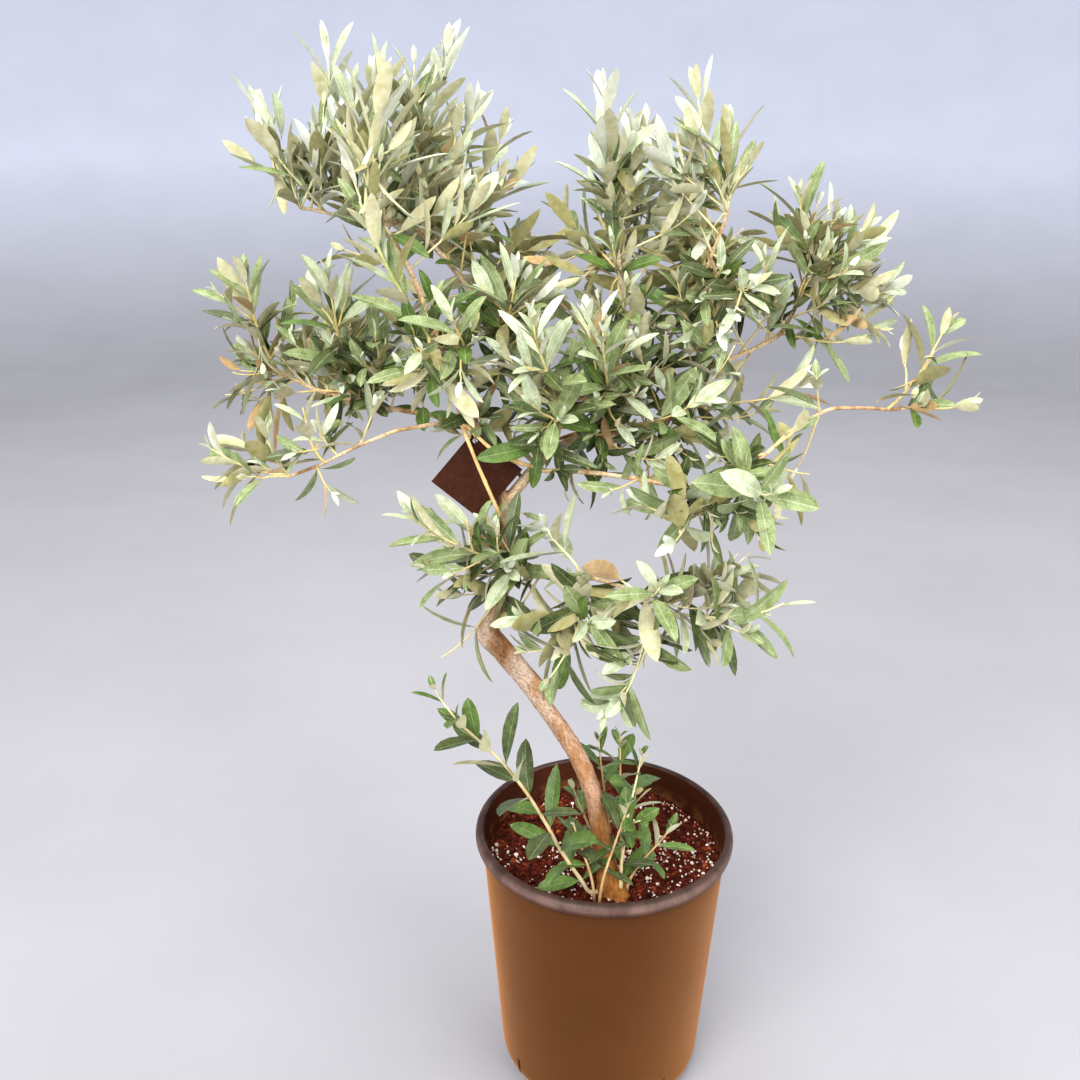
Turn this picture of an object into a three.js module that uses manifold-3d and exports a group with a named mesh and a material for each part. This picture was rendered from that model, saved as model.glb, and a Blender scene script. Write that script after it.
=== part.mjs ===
// A young olive tree in a deep nursery pot, about 0.98 m tall.
// Millimetres, +Z up. The origin is the centre of the pot's flat underside.

import * as THREE from 'three';
import { mergeVertices } from 'three/addons/utils/BufferGeometryUtils.js';
import Module from 'manifold-3d';

const wasm = await Module();
wasm.setup();

// ---------------------------------------------------------------------------
// Driving dimensions

const GAP = 0.3;

const POT = {
  height: 272,
  rimRadius: 125,
  lipDrop: 15.5,
  lipBand: 2.7,
  wall: 2,
  wallTopRadius: 117.5,
  cornerRadius: 24,
  wallFootRadius: 101,
  floor: 3,
  facets: 32,
};
const SLIT = { count: 8, width: 4, bottom: 6, height: 28, firstAngle: -10 };
const SOIL_TOP = 235;

const TRUNK_FLARE = { extra: 4.5, fade: 16 };
const STUB = { at: [-107, -34, 491], lean: [-0.9, -0.3, 0.25], length: 13, thick: [13, 7] };
// The tag hangs by one corner; turn is how far its long side leans from upright.
const TAG = { centre: [-114, -36, 635], width: 51, height: 56, thickness: 1, turn: 40 };
const TIE = { holeRadius: 2.2, holeInset: 6, thickness: 1.4, over: [-111, -14, 666], slack: 8 };

// A limb's path starts on the centreline of the limb that carries it.
// thick is its diameter at the foot and at the tip; knuckle swells the tip.
const HUB = [-126, -14, 675];
const LIMBS = {
  trunk: {
    path: [[6, -61, 225], [3, -60, 245], [-7, -55, 303], [-17, -51, 350], [-32, -48, 384],
      [-51, -44, 414], [-69, -40, 439], [-88, -37, 464], [-107, -34, 490], [-100, -32, 512],
      [-94, -30, 535], [-94, -26, 587], [-91, -24, 617]],
    thick: [17.5, 13], sides: 9, step: 20,
  },
  leader: {
    path: [[-93, -24, 606], [-98, -19, 639], [-107, -14, 664], HUB],
    thick: [9, 7], knuckle: 3,
  },
  bough_right: {
    path: [[-92, -25, 606], [-71, -26, 634], [-58, -26, 650], [-42, -24, 660], [-1, -14, 666],
      [39, -4, 672], [65, 6, 682]],
    thick: [11, 6.5], knuckle: 1.5,
  },
  bough_upper_left: {
    path: [HUB, [-108, 2, 688], [-93, 18, 716], [-99, 24, 742], [-134, 28, 795], [-170, 22, 835]],
    thick: [7, 5],
  },
  bough_mid_left: {
    path: [HUB, [-133, -26, 708], [-144, -36, 750], [-168, -38, 814], [-195, -26, 848]],
    thick: [6, 4.5],
  },
  bough_left: {
    path: [HUB, [-164, 14, 675], [-210, 34, 678], [-261, 44, 690], [-290, 44, 705]],
    thick: [5.5, 4],
  },
  bough_left_arch: {
    path: [HUB, [-157, -40, 678], [-184, -56, 676], [-209, -62, 666], [-240, -62, 650],
      [-262, -58, 641]],
    thick: [5, 3.4],
  },
  bough_top_left: {
    path: [[-168, 22, 832], [-188, 16, 829], [-211, 8, 835], [-236, 2, 841], [-250, -2, 845]],
    thick: [4, 3.2],
  },
  bough_centre_peak: {
    path: [[-10, -16, 666], [-6, 10, 688], [1, 24, 727], [6, 26, 769], [2, 22, 805], [-3, 18, 832]],
    thick: [6, 4],
  },
  bough_right_peak: {
    path: [[63, 5, 681], [69, 14, 706], [72, 22, 744], [73, 22, 789], [79, 18, 809], [88, 8, 840]],
    thick: [5, 3.5],
  },
  bough_upper_right: {
    path: [[69, 15, 708], [98, 30, 718], [151, 52, 739], [161, 56, 769], [165, 56, 788]],
    thick: [5, 4],
  },
  bough_far_right: {
    path: [[-71, -26, 634], [-46, -44, 642], [-2, -72, 646], [58, -100, 644], [76, -100, 645],
      [112, -84, 667], [153, -64, 695], [178, -56, 697], [225, -46, 692]],
    thick: [5.5, 3.4],
  },
  bough_low: {
    path: [[-94, -28, 552], [-70, -52, 554], [-42, -74, 558], [-12, -86, 565], [8, -90, 557],
      [28, -92, 537]],
    thick: [6, 4],
  },
  branch_front_long: {
    path: [[-88, -27, 580], [-98, -49, 612], [-111, -50, 645], [-121, -46, 669], HUB],
    thick: [4, 3.6],
  },
  branch_front_short: {
    path: [[-66, -26, 640], [-71, -46, 646], [-94, -53, 656], [-112, -52, 673], HUB],
    thick: [4, 3.6],
  },
  shoot_young: {
    path: [[-141, -34, 738], [-147, -62, 752], [-166, -80, 793], [-179, -80, 818], [-188, -74, 838]],
    thick: [3.8, 3],
  },
  sprout_stem_left: {
    path: [[-12, -65, 225], [-14, -66, 238], [-28, -72, 266], [-42, -82, 297], [-65, -98, 356],
      [-94, -112, 411], [-130, -122, 455]],
    thick: [6, 3],
  },
  sprout_stem_right: {
    path: [[14, -68, 225], [13, -68, 240], [12, -68, 273], [15, -66, 300]],
    thick: [5, 3.5],
  },
};

// A mass of foliage grows from a point along a limb (0 foot, 1 tip) to its own tip.
// across is its width in the plane of X and Z, deep its width towards Y.
const MASSES = {
  foliage_top_far_left: { on: ['bough_top_left', 1], tip: [-278, -6, 930], across: 74, deep: 64 },
  foliage_top_left: { on: ['bough_top_left', 0.5], tip: [-226, 10, 975], across: 60, deep: 60 },
  foliage_top_left_front: { on: ['shoot_young', 1], tip: [-172, -50, 955], across: 62, deep: 72 },
  foliage_top_middle: { on: ['bough_upper_left', 1], tip: [-126, 5, 977], across: 84, deep: 70 },
  foliage_top_middle_right: { on: ['bough_upper_left', 0.72], tip: [-85, 65, 915], across: 66, deep: 66 },
  foliage_top_back: { on: ['bough_upper_left', 0.8], tip: [-178, 175, 922], across: 100, deep: 90 },
  foliage_far_left: { on: ['bough_left', 1], tip: [-312, 30, 805], across: 84, deep: 74 },
  foliage_left: { on: ['bough_left', 0.52], tip: [-226, -60, 812], across: 100, deep: 84 },
  foliage_left_back: { on: ['bough_left', 0.55], tip: [-272, 185, 725], across: 100, deep: 100 },
  foliage_left_arch: { on: ['bough_left_arch', 1], tip: [-336, -62, 670], across: 76, deep: 70 },
  foliage_left_arch_inner: { on: ['bough_left_arch', 0.82], tip: [-248, -78, 716], across: 52, deep: 60 },
  foliage_hub: { on: ['bough_mid_left', 0.12], tip: [-140, -118, 788], across: 92, deep: 76 },
  foliage_centre_left: { on: ['bough_upper_left', 0.3], tip: [-78, -24, 812], across: 84, deep: 90 },
  foliage_centre_back: { on: ['bough_upper_left', 0.5], tip: [-66, 188, 795], across: 110, deep: 110 },
  foliage_centre: { on: ['bough_right', 0.34], tip: [-70, -114, 790], across: 84, deep: 80 },
  foliage_centre_right: { on: ['bough_right', 0.62], tip: [-16, -92, 772], across: 96, deep: 84 },
  foliage_centre_peak: { on: ['bough_centre_peak', 1], tip: [-15, 0, 947], across: 66, deep: 66 },
  foliage_centre_peak_left: { on: ['bough_centre_peak', 0.55], tip: [-52, 64, 848], across: 80, deep: 70 },
  foliage_mid_peak: { on: ['bough_centre_peak', 0.45], tip: [28, 84, 919], across: 52, deep: 62 },
  foliage_right_peak: { on: ['bough_right_peak', 0.7], tip: [55, 26, 946], across: 58, deep: 62 },
  foliage_right_peak_outer: { on: ['bough_right_peak', 1], tip: [80, -8, 920], across: 54, deep: 60 },
  foliage_right_middle: { on: ['bough_right_peak', 0.4], tip: [93, -50, 808], across: 84, deep: 84 },
  foliage_right_back: { on: ['bough_right_peak', 0.45], tip: [90, 195, 850], across: 116, deep: 100 },
  foliage_upper_right: { on: ['bough_upper_right', 1], tip: [150, 50, 866], across: 100, deep: 80 },
  foliage_upper_right_outer: { on: ['bough_upper_right', 0.9], tip: [246, 70, 812], across: 84, deep: 76 },
  foliage_far_right_upper: { on: ['bough_far_right', 0.97], tip: [262, -42, 772], across: 54, deep: 56 },
  foliage_far_right_lower: { on: ['bough_far_right', 1], tip: [288, -60, 702], across: 50, deep: 56 },
  foliage_right_drop: { on: ['bough_far_right', 0.7], tip: [122, -70, 612], across: 52, deep: 56 },
  foliage_low_right_inner: { on: ['bough_far_right', 0.44], tip: [30, -160, 608], across: 78, deep: 66 },
  foliage_low_right: { on: ['bough_far_right', 0.52], tip: [110, -170, 660], across: 76, deep: 66 },
  foliage_low_left: { on: ['bough_low', 0.18], tip: [-172, -110, 632], across: 68, deep: 64 },
  foliage_low_middle: { on: ['bough_low', 0.56], tip: [-60, -150, 490], across: 100, deep: 80 },
  foliage_low_upper: { on: ['bough_low', 0.3], tip: [-32, -76, 624], across: 68, deep: 60 },
  foliage_low_front: { on: ['bough_low', 0.8], tip: [32, -160, 588], across: 90, deep: 70 },
  foliage_low_outer: { on: ['bough_low', 1], tip: [140, -138, 566], across: 92, deep: 76 },
  foliage_low_foot: { on: ['bough_low', 1], tip: [-14, -140, 460], across: 80, deep: 66 },
  foliage_sprout_left: { on: ['sprout_stem_left', 0.6], tip: [-172, -135, 508], across: 84, deep: 66 },
  foliage_sprout_right: { on: ['sprout_stem_right', 1], tip: [32, -40, 388], across: 78, deep: 80 },
};

// Colour, roughness and metalness of each finish.
const FINISHES = {
  pot: { color: 0x6e4627, roughness: 0.6, metalness: 0 },
  potting_mix: { color: 0x3a2218, roughness: 0.95, metalness: 0 },
  bark: { color: 0xa78463, roughness: 0.85, metalness: 0 },
  young_bark: { color: 0xb9a274, roughness: 0.75, metalness: 0 },
  foliage: { color: 0x7d8a5c, roughness: 0.7, metalness: 0 },
  tag: { color: 0x50281c, roughness: 0.6, metalness: 0 },
  tie: { color: 0xcfc3a6, roughness: 0.8, metalness: 0 },
};

const YOUNG_LIMB = /^(branch|shoot|sprout)/;

// ---------------------------------------------------------------------------
// Solids and meshes

function solidOf(geometry) {
  const bare = geometry.index ? geometry.clone() : geometry;
  bare.deleteAttribute('normal');
  bare.deleteAttribute('uv');
  const merged = mergeVertices(bare, 1e-4);
  return new wasm.Manifold(new wasm.Mesh({
    numProp: 3,
    vertProperties: Float32Array.from(merged.attributes.position.array),
    triVerts: Uint32Array.from(merged.index.array),
  }));
}

function geometryOf(solid) {
  const mesh = solid.getMesh();
  const geometry = new THREE.BufferGeometry();
  geometry.setAttribute('position', new THREE.BufferAttribute(mesh.vertProperties, 3));
  geometry.setIndex(new THREE.BufferAttribute(mesh.triVerts, 1));
  geometry.computeVertexNormals();
  return geometry;
}

/** The largest of a solid's separate bodies. */
function largestBody(solid) {
  return solid.decompose().reduce((best, body) => (body.volume() > best.volume() ? body : best));
}

/** A closed surface through rings of points, fanned shut onto a point at each end. */
function ringSurface(rings, start, end) {
  const sides = rings[0].length;
  const points = [start, ...rings.flat(), end];
  const last = points.length - 1;
  const at = (ring, side) => 1 + ring * sides + (side % sides);
  const faces = [];
  for (let side = 0; side < sides; side += 1) {
    faces.push(0, at(0, side + 1), at(0, side));
    for (let ring = 0; ring < rings.length - 1; ring += 1) {
      faces.push(at(ring, side), at(ring, side + 1), at(ring + 1, side + 1));
      faces.push(at(ring, side), at(ring + 1, side + 1), at(ring + 1, side));
    }
    faces.push(last, at(rings.length - 1, side), at(rings.length - 1, side + 1));
  }
  const geometry = new THREE.BufferGeometry().setFromPoints(points);
  geometry.setIndex(faces);
  return geometry;
}

function mesh(name, solid, finish) {
  const made = new THREE.Mesh(geometryOf(solid), new THREE.MeshStandardMaterial(FINISHES[finish]));
  made.name = name;
  return made;
}

// ---------------------------------------------------------------------------
// Pot: a thin moulded wall with a rounded foot and a turned-down lip, slit at the foot

/** Points of a quarter round from below, radius r about (cx, cz), turning out to up. */
function footRound(cx, cz, r, steps = 3) {
  return Array.from({ length: steps + 1 }, (_, i) => {
    const angle = (i / steps) * (Math.PI / 2);
    return new THREE.Vector2(cx + r * Math.sin(angle), cz - r * Math.cos(angle));
  });
}

/** Radius of the pot's inner wall at height z, in line with its straight outer wall. */
function innerRadius(z) {
  const rise = (z - POT.cornerRadius) / (POT.height - POT.lipDrop - POT.cornerRadius);
  return THREE.MathUtils.lerp(POT.wallFootRadius, POT.wallTopRadius, rise) - POT.wall;
}

function potSolid() {
  const flat = POT.wallFootRadius - POT.cornerRadius;
  const top = POT.height;
  const lipFoot = top - POT.lipDrop;
  const lipInner = POT.rimRadius - POT.lipBand;
  const outline = [
    new THREE.Vector2(0, 0),
    ...footRound(flat, POT.cornerRadius, POT.cornerRadius),
    new THREE.Vector2(POT.wallTopRadius, lipFoot),
    new THREE.Vector2(POT.wallTopRadius + 0.6, top - 5),
    new THREE.Vector2(lipInner, top - 6.5),
    new THREE.Vector2(lipInner, lipFoot),
    new THREE.Vector2(POT.rimRadius, lipFoot),
    new THREE.Vector2(POT.rimRadius, top - 6),
    new THREE.Vector2(POT.rimRadius - 2, top - 1.6),
    new THREE.Vector2(POT.rimRadius - 6, top),
    new THREE.Vector2(innerRadius(top) + 1.6, top - 1.6),
    new THREE.Vector2(innerRadius(top - 6), top - 6),
    ...footRound(flat, POT.cornerRadius, POT.cornerRadius - POT.wall).reverse(),
    new THREE.Vector2(flat - 2, POT.floor),
    new THREE.Vector2(0, POT.floor),
  ];
  const lathe = new THREE.LatheGeometry(outline, POT.facets);
  lathe.rotateX(Math.PI / 2);
  let pot = solidOf(lathe);
  for (let i = 0; i < SLIT.count; i += 1) {
    const slit = new THREE.BoxGeometry(POT.cornerRadius * 2, SLIT.width, SLIT.height);
    slit.translate(POT.wallFootRadius, 0, SLIT.bottom + SLIT.height / 2);
    slit.rotateZ(THREE.MathUtils.degToRad(SLIT.firstAngle + (i * 360) / SLIT.count));
    pot = pot.subtract(solidOf(slit));
  }
  return pot;
}

/** The potting mix fills the pot to its level, clear of the wall by the gap. */
function soilSolid() {
  const flat = POT.wallFootRadius - POT.cornerRadius;
  const round = POT.cornerRadius - POT.wall - GAP;
  const outline = [
    new THREE.Vector2(0, POT.floor + GAP),
    new THREE.Vector2(flat - 2, POT.floor + GAP),
    ...footRound(flat, POT.cornerRadius, round).slice(1),
    new THREE.Vector2(innerRadius(SOIL_TOP) - GAP, SOIL_TOP),
    new THREE.Vector2(0, SOIL_TOP),
  ];
  const lathe = new THREE.LatheGeometry(outline, POT.facets);
  lathe.rotateX(Math.PI / 2);
  return solidOf(lathe);
}

// ---------------------------------------------------------------------------
// Limbs: tapering tubes along smooth curves

function limbCurve({ path }) {
  return new THREE.CatmullRomCurve3(path.map((p) => new THREE.Vector3(...p)), false, 'centripetal');
}

/** Radius of a limb at the fraction u of its length, with the trunk's flare and tip knuckles. */
function limbRadius(name, limb, length, u) {
  const [foot, tip] = limb.thick;
  const taper = THREE.MathUtils.lerp(foot, tip, u) / 2;
  const flare = name === 'trunk' ? TRUNK_FLARE.extra * Math.exp((-u * length) / TRUNK_FLARE.fade) : 0;
  const knuckle = (limb.knuckle ?? 0) * Math.exp((-(1 - u) * length) / 8);
  return taper + flare + knuckle;
}

/** The short stump of a side limb pruned off at the trunk's knee. */
function stubSolid(extra = 0) {
  const [foot, tip] = STUB.thick;
  const stump = new THREE.CylinderGeometry(tip / 2 + extra, foot / 2 + extra, STUB.length + extra, 8);
  stump.translate(0, (STUB.length + extra) / 2, 0);
  const lean = new THREE.Vector3(...STUB.lean).normalize();
  stump.applyQuaternion(new THREE.Quaternion().setFromUnitVectors(new THREE.Vector3(0, 1, 0), lean));
  stump.translate(...STUB.at);
  return solidOf(stump);
}

/** A limb as a closed tube; extra fattens it and lengthens it at both ends. */
function limbSolid(name, limb, extra = 0) {
  const curve = limbCurve(limb);
  const length = curve.getLength();
  const sides = limb.sides ?? 6;
  const count = Math.max(4, Math.round(length / (limb.step ?? 30)));
  const frames = curve.computeFrenetFrames(count);
  const rings = [];
  for (let i = 0; i <= count; i += 1) {
    const u = i / count;
    const centre = curve.getPointAt(u);
    const reach = (i === count ? extra : 0) - (i === 0 ? extra : 0);
    centre.addScaledVector(frames.tangents[i], reach);
    const radius = limbRadius(name, limb, length, u) + extra;
    rings.push(Array.from({ length: sides }, (_, k) => {
      const angle = (k / sides) * 2 * Math.PI;
      return centre.clone()
        .addScaledVector(frames.normals[i], radius * Math.cos(angle))
        .addScaledVector(frames.binormals[i], radius * Math.sin(angle));
    }));
  }
  const middle = (ring) => ring.reduce((sum, p) => sum.add(p), new THREE.Vector3()).divideScalar(sides);
  const tube = solidOf(ringSurface(rings, middle(rings[0]), middle(rings[count])));
  return name === 'trunk' ? tube.add(stubSolid(extra)) : tube;
}

// ---------------------------------------------------------------------------
// Tag: a card hung by one corner on a loop that goes over the leader

function tagSolid(extra = 0) {
  const card = new THREE.BoxGeometry(TAG.width + extra, TAG.thickness + extra, TAG.height + extra);
  card.rotateY(THREE.MathUtils.degToRad(TAG.turn));
  card.translate(...TAG.centre);
  return solidOf(card);
}

/** Centre of the hole near the tag's upper corner. */
function tagHole() {
  const corner = new THREE.Vector3(-TAG.width / 2 + TIE.holeInset, 0, TAG.height / 2 - TIE.holeInset);
  corner.applyAxisAngle(new THREE.Vector3(0, 1, 0), THREE.MathUtils.degToRad(TAG.turn));
  return corner.add(new THREE.Vector3(...TAG.centre));
}

function holeSolid() {
  const hole = tagHole();
  const bore = new THREE.CylinderGeometry(TIE.holeRadius, TIE.holeRadius, TAG.thickness * 4, 10);
  bore.translate(hole.x, hole.y, hole.z);
  return solidOf(bore);
}

/** The tie is a closed ring: through the hole, up past the tag's corner and round the leader. */
function tieSolid(extra = 0) {
  const hole = tagHole();
  const over = new THREE.Vector3(...TIE.over);
  const up = new THREE.Vector3(0, 0, 1);
  const back = new THREE.Vector3(0, 1, 0);
  const corner = TIE.holeInset * Math.SQRT2 + 3;
  const route = [
    hole,
    hole.clone().addScaledVector(up, corner / 2).addScaledVector(back, -4),
    hole.clone().addScaledVector(up, corner).addScaledVector(back, 1),
    over.clone().addScaledVector(up, TIE.slack),
    over.clone().addScaledVector(back, TIE.slack),
    over.clone().addScaledVector(up, -TIE.slack),
  ];
  const curve = new THREE.CatmullRomCurve3(route, true, 'centripetal');
  return solidOf(new THREE.TubeGeometry(curve, 16, TIE.thickness / 2 + extra, 5, true));
}

// ---------------------------------------------------------------------------
// Masses of foliage: uneven spindles from a limb to a tip

const MASS_RINGS = [0.08, 0.28, 0.52, 0.74, 0.92];
const MASS_SIDES = 7;

/**
 * Half-widths follow sin(pi t^0.8)^0.7 from foot (t = 0) to tip (t = 1), roughened by two
 * waves that run round and along the mass with a phase of its own.
 */
function massSolid({ on: [limb, fraction], tip, across, deep }, phase) {
  const foot = limbCurve(LIMBS[limb]).getPointAt(fraction);
  const end = new THREE.Vector3(...tip);
  const axis = end.clone().sub(foot).normalize();
  const side = new THREE.Vector3().crossVectors(axis, new THREE.Vector3(0, 1, 0)).normalize();
  const front = new THREE.Vector3().crossVectors(side, axis);
  const rings = MASS_RINGS.map((t) => {
    const swell = Math.sin(Math.PI * t ** 0.8) ** 0.7;
    return Array.from({ length: MASS_SIDES }, (_, k) => {
      const angle = -(k / MASS_SIDES) * 2 * Math.PI;
      const rough = 1 + 0.13 * Math.sin(3 * angle + 4 * t + phase)
        + 0.1 * Math.sin(2 * angle - 9 * t + 2 * phase);
      return foot.clone().lerp(end, t)
        .addScaledVector(side, (across / 2) * swell * rough * Math.cos(angle))
        .addScaledVector(front, (deep / 2) * swell * rough * Math.sin(angle));
    });
  });
  return solidOf(ringSurface(rings, foot, end));
}

/** Two masses that overlap are cut back to either side of a plane through their overlap. */
function shareSpace(a, b) {
  const shared = a.solid.intersect(b.solid);
  if (shared.isEmpty()) {
    return;
  }
  const normal = b.centre.clone().sub(a.centre).normalize();
  const heights = [];
  const { vertProperties } = shared.getMesh();
  for (let i = 0; i < vertProperties.length; i += 3) {
    heights.push(normal.dot(new THREE.Vector3().fromArray(vertProperties, i)));
  }
  const middle = (Math.min(...heights) + Math.max(...heights)) / 2;
  a.solid = a.solid.trimByPlane(normal.clone().negate().toArray(), GAP / 2 - middle);
  b.solid = b.solid.trimByPlane(normal.toArray(), middle + GAP / 2);
}

// ---------------------------------------------------------------------------
// Assembly

const tree = new THREE.Group();
tree.name = 'potted_olive_tree';
tree.add(mesh('pot', potSolid(), 'pot'));
tree.add(mesh('potting_mix', soilSolid(), 'potting_mix'));

// Limbs, each cut clear of those before it and flat where it stands on the mix.
const clearances = [];
for (const [name, limb] of Object.entries(LIMBS)) {
  let solid = limbSolid(name, limb);
  for (const earlier of clearances) {
    solid = solid.subtract(earlier);
  }
  solid = largestBody(solid.trimByPlane([0, 0, 1], SOIL_TOP + GAP));
  clearances.push(limbSolid(name, limb, GAP));
  tree.add(mesh(name, solid, YOUNG_LIMB.test(name) ? 'young_bark' : 'bark'));
}

tree.add(mesh('hang_tag', tagSolid().subtract(holeSolid()), 'tag'));
tree.add(mesh('tag_tie', tieSolid(), 'tie'));
clearances.push(tagSolid(2 * GAP), tieSolid(GAP));

// Masses share out the space between them, then make way for what passes through.
const masses = Object.entries(MASSES).map(([name, mass], index) => {
  const foot = limbCurve(LIMBS[mass.on[0]]).getPointAt(mass.on[1]);
  const centre = foot.lerp(new THREE.Vector3(...mass.tip), 0.5);
  return { name, solid: massSolid(mass, 1.7 * index), centre };
});
masses.forEach((a, i) => masses.slice(i + 1).forEach((b) => shareSpace(a, b)));
for (const mass of masses) {
  let { solid } = mass;
  for (const clearance of clearances) {
    solid = solid.subtract(clearance);
  }
  tree.add(mesh(mass.name, largestBody(solid), 'foliage'));
}

export default tree;
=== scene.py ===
import math

import bpy
import numpy as np
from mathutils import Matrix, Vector
from mathutils.bvhtree import BVHTree


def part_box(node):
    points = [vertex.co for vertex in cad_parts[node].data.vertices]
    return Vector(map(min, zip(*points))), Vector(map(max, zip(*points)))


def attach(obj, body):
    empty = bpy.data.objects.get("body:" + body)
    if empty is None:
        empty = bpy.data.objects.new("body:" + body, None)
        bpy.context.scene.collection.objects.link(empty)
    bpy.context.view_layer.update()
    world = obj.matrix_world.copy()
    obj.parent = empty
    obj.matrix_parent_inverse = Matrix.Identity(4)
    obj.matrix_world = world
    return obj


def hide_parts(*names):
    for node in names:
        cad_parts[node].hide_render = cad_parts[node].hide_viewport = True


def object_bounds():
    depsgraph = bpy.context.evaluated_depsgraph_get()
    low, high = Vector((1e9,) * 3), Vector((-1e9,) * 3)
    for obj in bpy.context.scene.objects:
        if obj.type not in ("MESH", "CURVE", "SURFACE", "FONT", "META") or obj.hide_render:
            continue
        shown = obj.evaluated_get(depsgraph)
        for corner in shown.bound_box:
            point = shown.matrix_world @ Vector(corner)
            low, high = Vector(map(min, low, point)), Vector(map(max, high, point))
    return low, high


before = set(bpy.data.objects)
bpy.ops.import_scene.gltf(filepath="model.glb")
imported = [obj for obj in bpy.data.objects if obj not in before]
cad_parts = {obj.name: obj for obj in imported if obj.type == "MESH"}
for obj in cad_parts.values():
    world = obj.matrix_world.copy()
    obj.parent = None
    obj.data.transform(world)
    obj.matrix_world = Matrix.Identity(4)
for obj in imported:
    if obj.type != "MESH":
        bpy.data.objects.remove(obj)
cad_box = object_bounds()

# ---------------------------------------------------------------------------
# Camera, floor and light: the tree stands on a pale studio floor and is seen
# from a little above the crown, in soft even daylight.


def add_object(name, data):
    """A new object in the scene, at the origin."""
    thing = bpy.data.objects.new(name, data)
    bpy.context.scene.collection.objects.link(thing)
    return thing


camera_data = bpy.data.cameras.new("camera")
camera_data.sensor_width = 36.0
camera_data.lens = 36.03
camera = add_object("camera", camera_data)
camera.location = (-0.062, -0.888, 0.896)
camera.rotation_euler = (math.radians(90 - 20.45), 0.0, 0.0)
bpy.context.scene.camera = camera
bpy.context.scene.view_settings.view_transform = "Standard"


def tint(red, green, blue):
    """A colour given as 0 to 255 of each light, turned into the linear values that a shader takes."""
    value = np.array([red, green, blue]) / 255.0
    linear = np.where(value <= 0.04045, value / 12.92, ((value + 0.055) / 1.055) ** 2.4)
    return (*linear.tolist(), 1.0)


def new_material(name, roughness, specular):
    """A material with only its shader in it, and that shader's fixed values set."""
    material = bpy.data.materials.new(name)
    material.use_nodes = True
    shader = material.node_tree.nodes["Principled BSDF"]
    shader.inputs["Roughness"].default_value = roughness
    shader.inputs["Specular IOR Level"].default_value = specular
    return material, material.node_tree, shader


def noise(tree, scale, detail=3.0, stretch=(1.0, 1.0, 1.0)):
    """Cloudy noise in the object's own space; stretch below 1 draws it out along that axis."""
    place = tree.nodes.new("ShaderNodeTexCoord")
    turn = tree.nodes.new("ShaderNodeMapping")
    turn.inputs["Scale"].default_value = stretch
    cloud = tree.nodes.new("ShaderNodeTexNoise")
    cloud.inputs["Scale"].default_value = scale
    cloud.inputs["Detail"].default_value = detail
    cloud.inputs["Roughness"].default_value = 0.55
    tree.links.new(place.outputs["Object"], turn.inputs["Vector"])
    tree.links.new(turn.outputs["Vector"], cloud.inputs["Vector"])
    return cloud.outputs["Fac"]


def ramp(tree, factor, stops):
    """Colours dealt along a factor, from (place, colour) pairs."""
    band = tree.nodes.new("ShaderNodeValToRGB")
    elements = band.color_ramp.elements
    while len(elements) < len(stops):
        elements.new(0.5)
    for element, (place, colour) in zip(elements, stops):
        element.position = place
        element.color = colour
    tree.links.new(factor, band.inputs["Fac"])
    return band.outputs["Color"]


def blend_colours(tree, factor, first, second, way="MIX"):
    """One colour over another by a factor; each may be a fixed colour or another node's output."""
    mix = tree.nodes.new("ShaderNodeMix")
    mix.data_type = "RGBA"
    mix.blend_type = way
    for socket, value in ((mix.inputs[0], factor), (mix.inputs[6], first), (mix.inputs[7], second)):
        if isinstance(value, (tuple, float)):
            socket.default_value = value
        else:
            tree.links.new(value, socket)
    return mix.outputs[2]


def bump(tree, shader, height, strength, distance):
    """Fine relief in the shading only, from a height between 0 and 1."""
    relief = tree.nodes.new("ShaderNodeBump")
    relief.inputs["Strength"].default_value = strength
    relief.inputs["Distance"].default_value = distance
    tree.links.new(height, relief.inputs["Height"])
    tree.links.new(relief.outputs["Normal"], shader.inputs["Normal"])


def mottled_material(name, roughness, specular, cloud, stops, relief, strength, distance):
    """A material with its colours dealt along one noise and fine relief from another. Each noise is
    given as its scale, detail and stretch."""
    material, tree, shader = new_material(name, roughness, specular)
    tree.links.new(ramp(tree, noise(tree, *cloud), stops), shader.inputs["Base Color"])
    bump(tree, shader, noise(tree, *relief), strength, distance)
    return material


def height_share(tree, first, last):
    """How far a place lies on the way from one height to another, from 0 to 1."""
    place = tree.nodes.new("ShaderNodeTexCoord")
    split = tree.nodes.new("ShaderNodeSeparateXYZ")
    share = tree.nodes.new("ShaderNodeMapRange")
    share.inputs["From Min"].default_value = first
    share.inputs["From Max"].default_value = last
    tree.links.new(place.outputs["Object"], split.inputs["Vector"])
    tree.links.new(split.outputs["Z"], share.inputs["Value"])
    return share.outputs["Result"]


# The floor's tone turns paler up its sweep, as far as this height.
PALE_AT = 0.8
floor_material, tree, shader = new_material("studio_floor", 0.85, 0.15)
grain = noise(tree, 3.0, 4.0)
low_tone = ramp(tree, grain, [(0.3, tint(148, 147, 150)), (0.7, tint(153, 152, 155))])
high_tone = ramp(tree, grain, [(0.3, tint(206, 210, 222)), (0.7, tint(211, 215, 227))])
tone = blend_colours(tree, height_share(tree, 0.0, PALE_AT), low_tone, high_tone)
tree.links.new(tone, shader.inputs["Base Color"])
bump(tree, shader, noise(tree, 90.0), 0.05, 0.002)


def carried_round(radius, height, turns):
    """A section carried round the upright axis: rows of points, one at each turn."""
    return np.stack([radius * np.cos(turns), radius * np.sin(turns),
                     np.broadcast_to(height, (len(height), len(turns)))], axis=-1)


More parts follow.
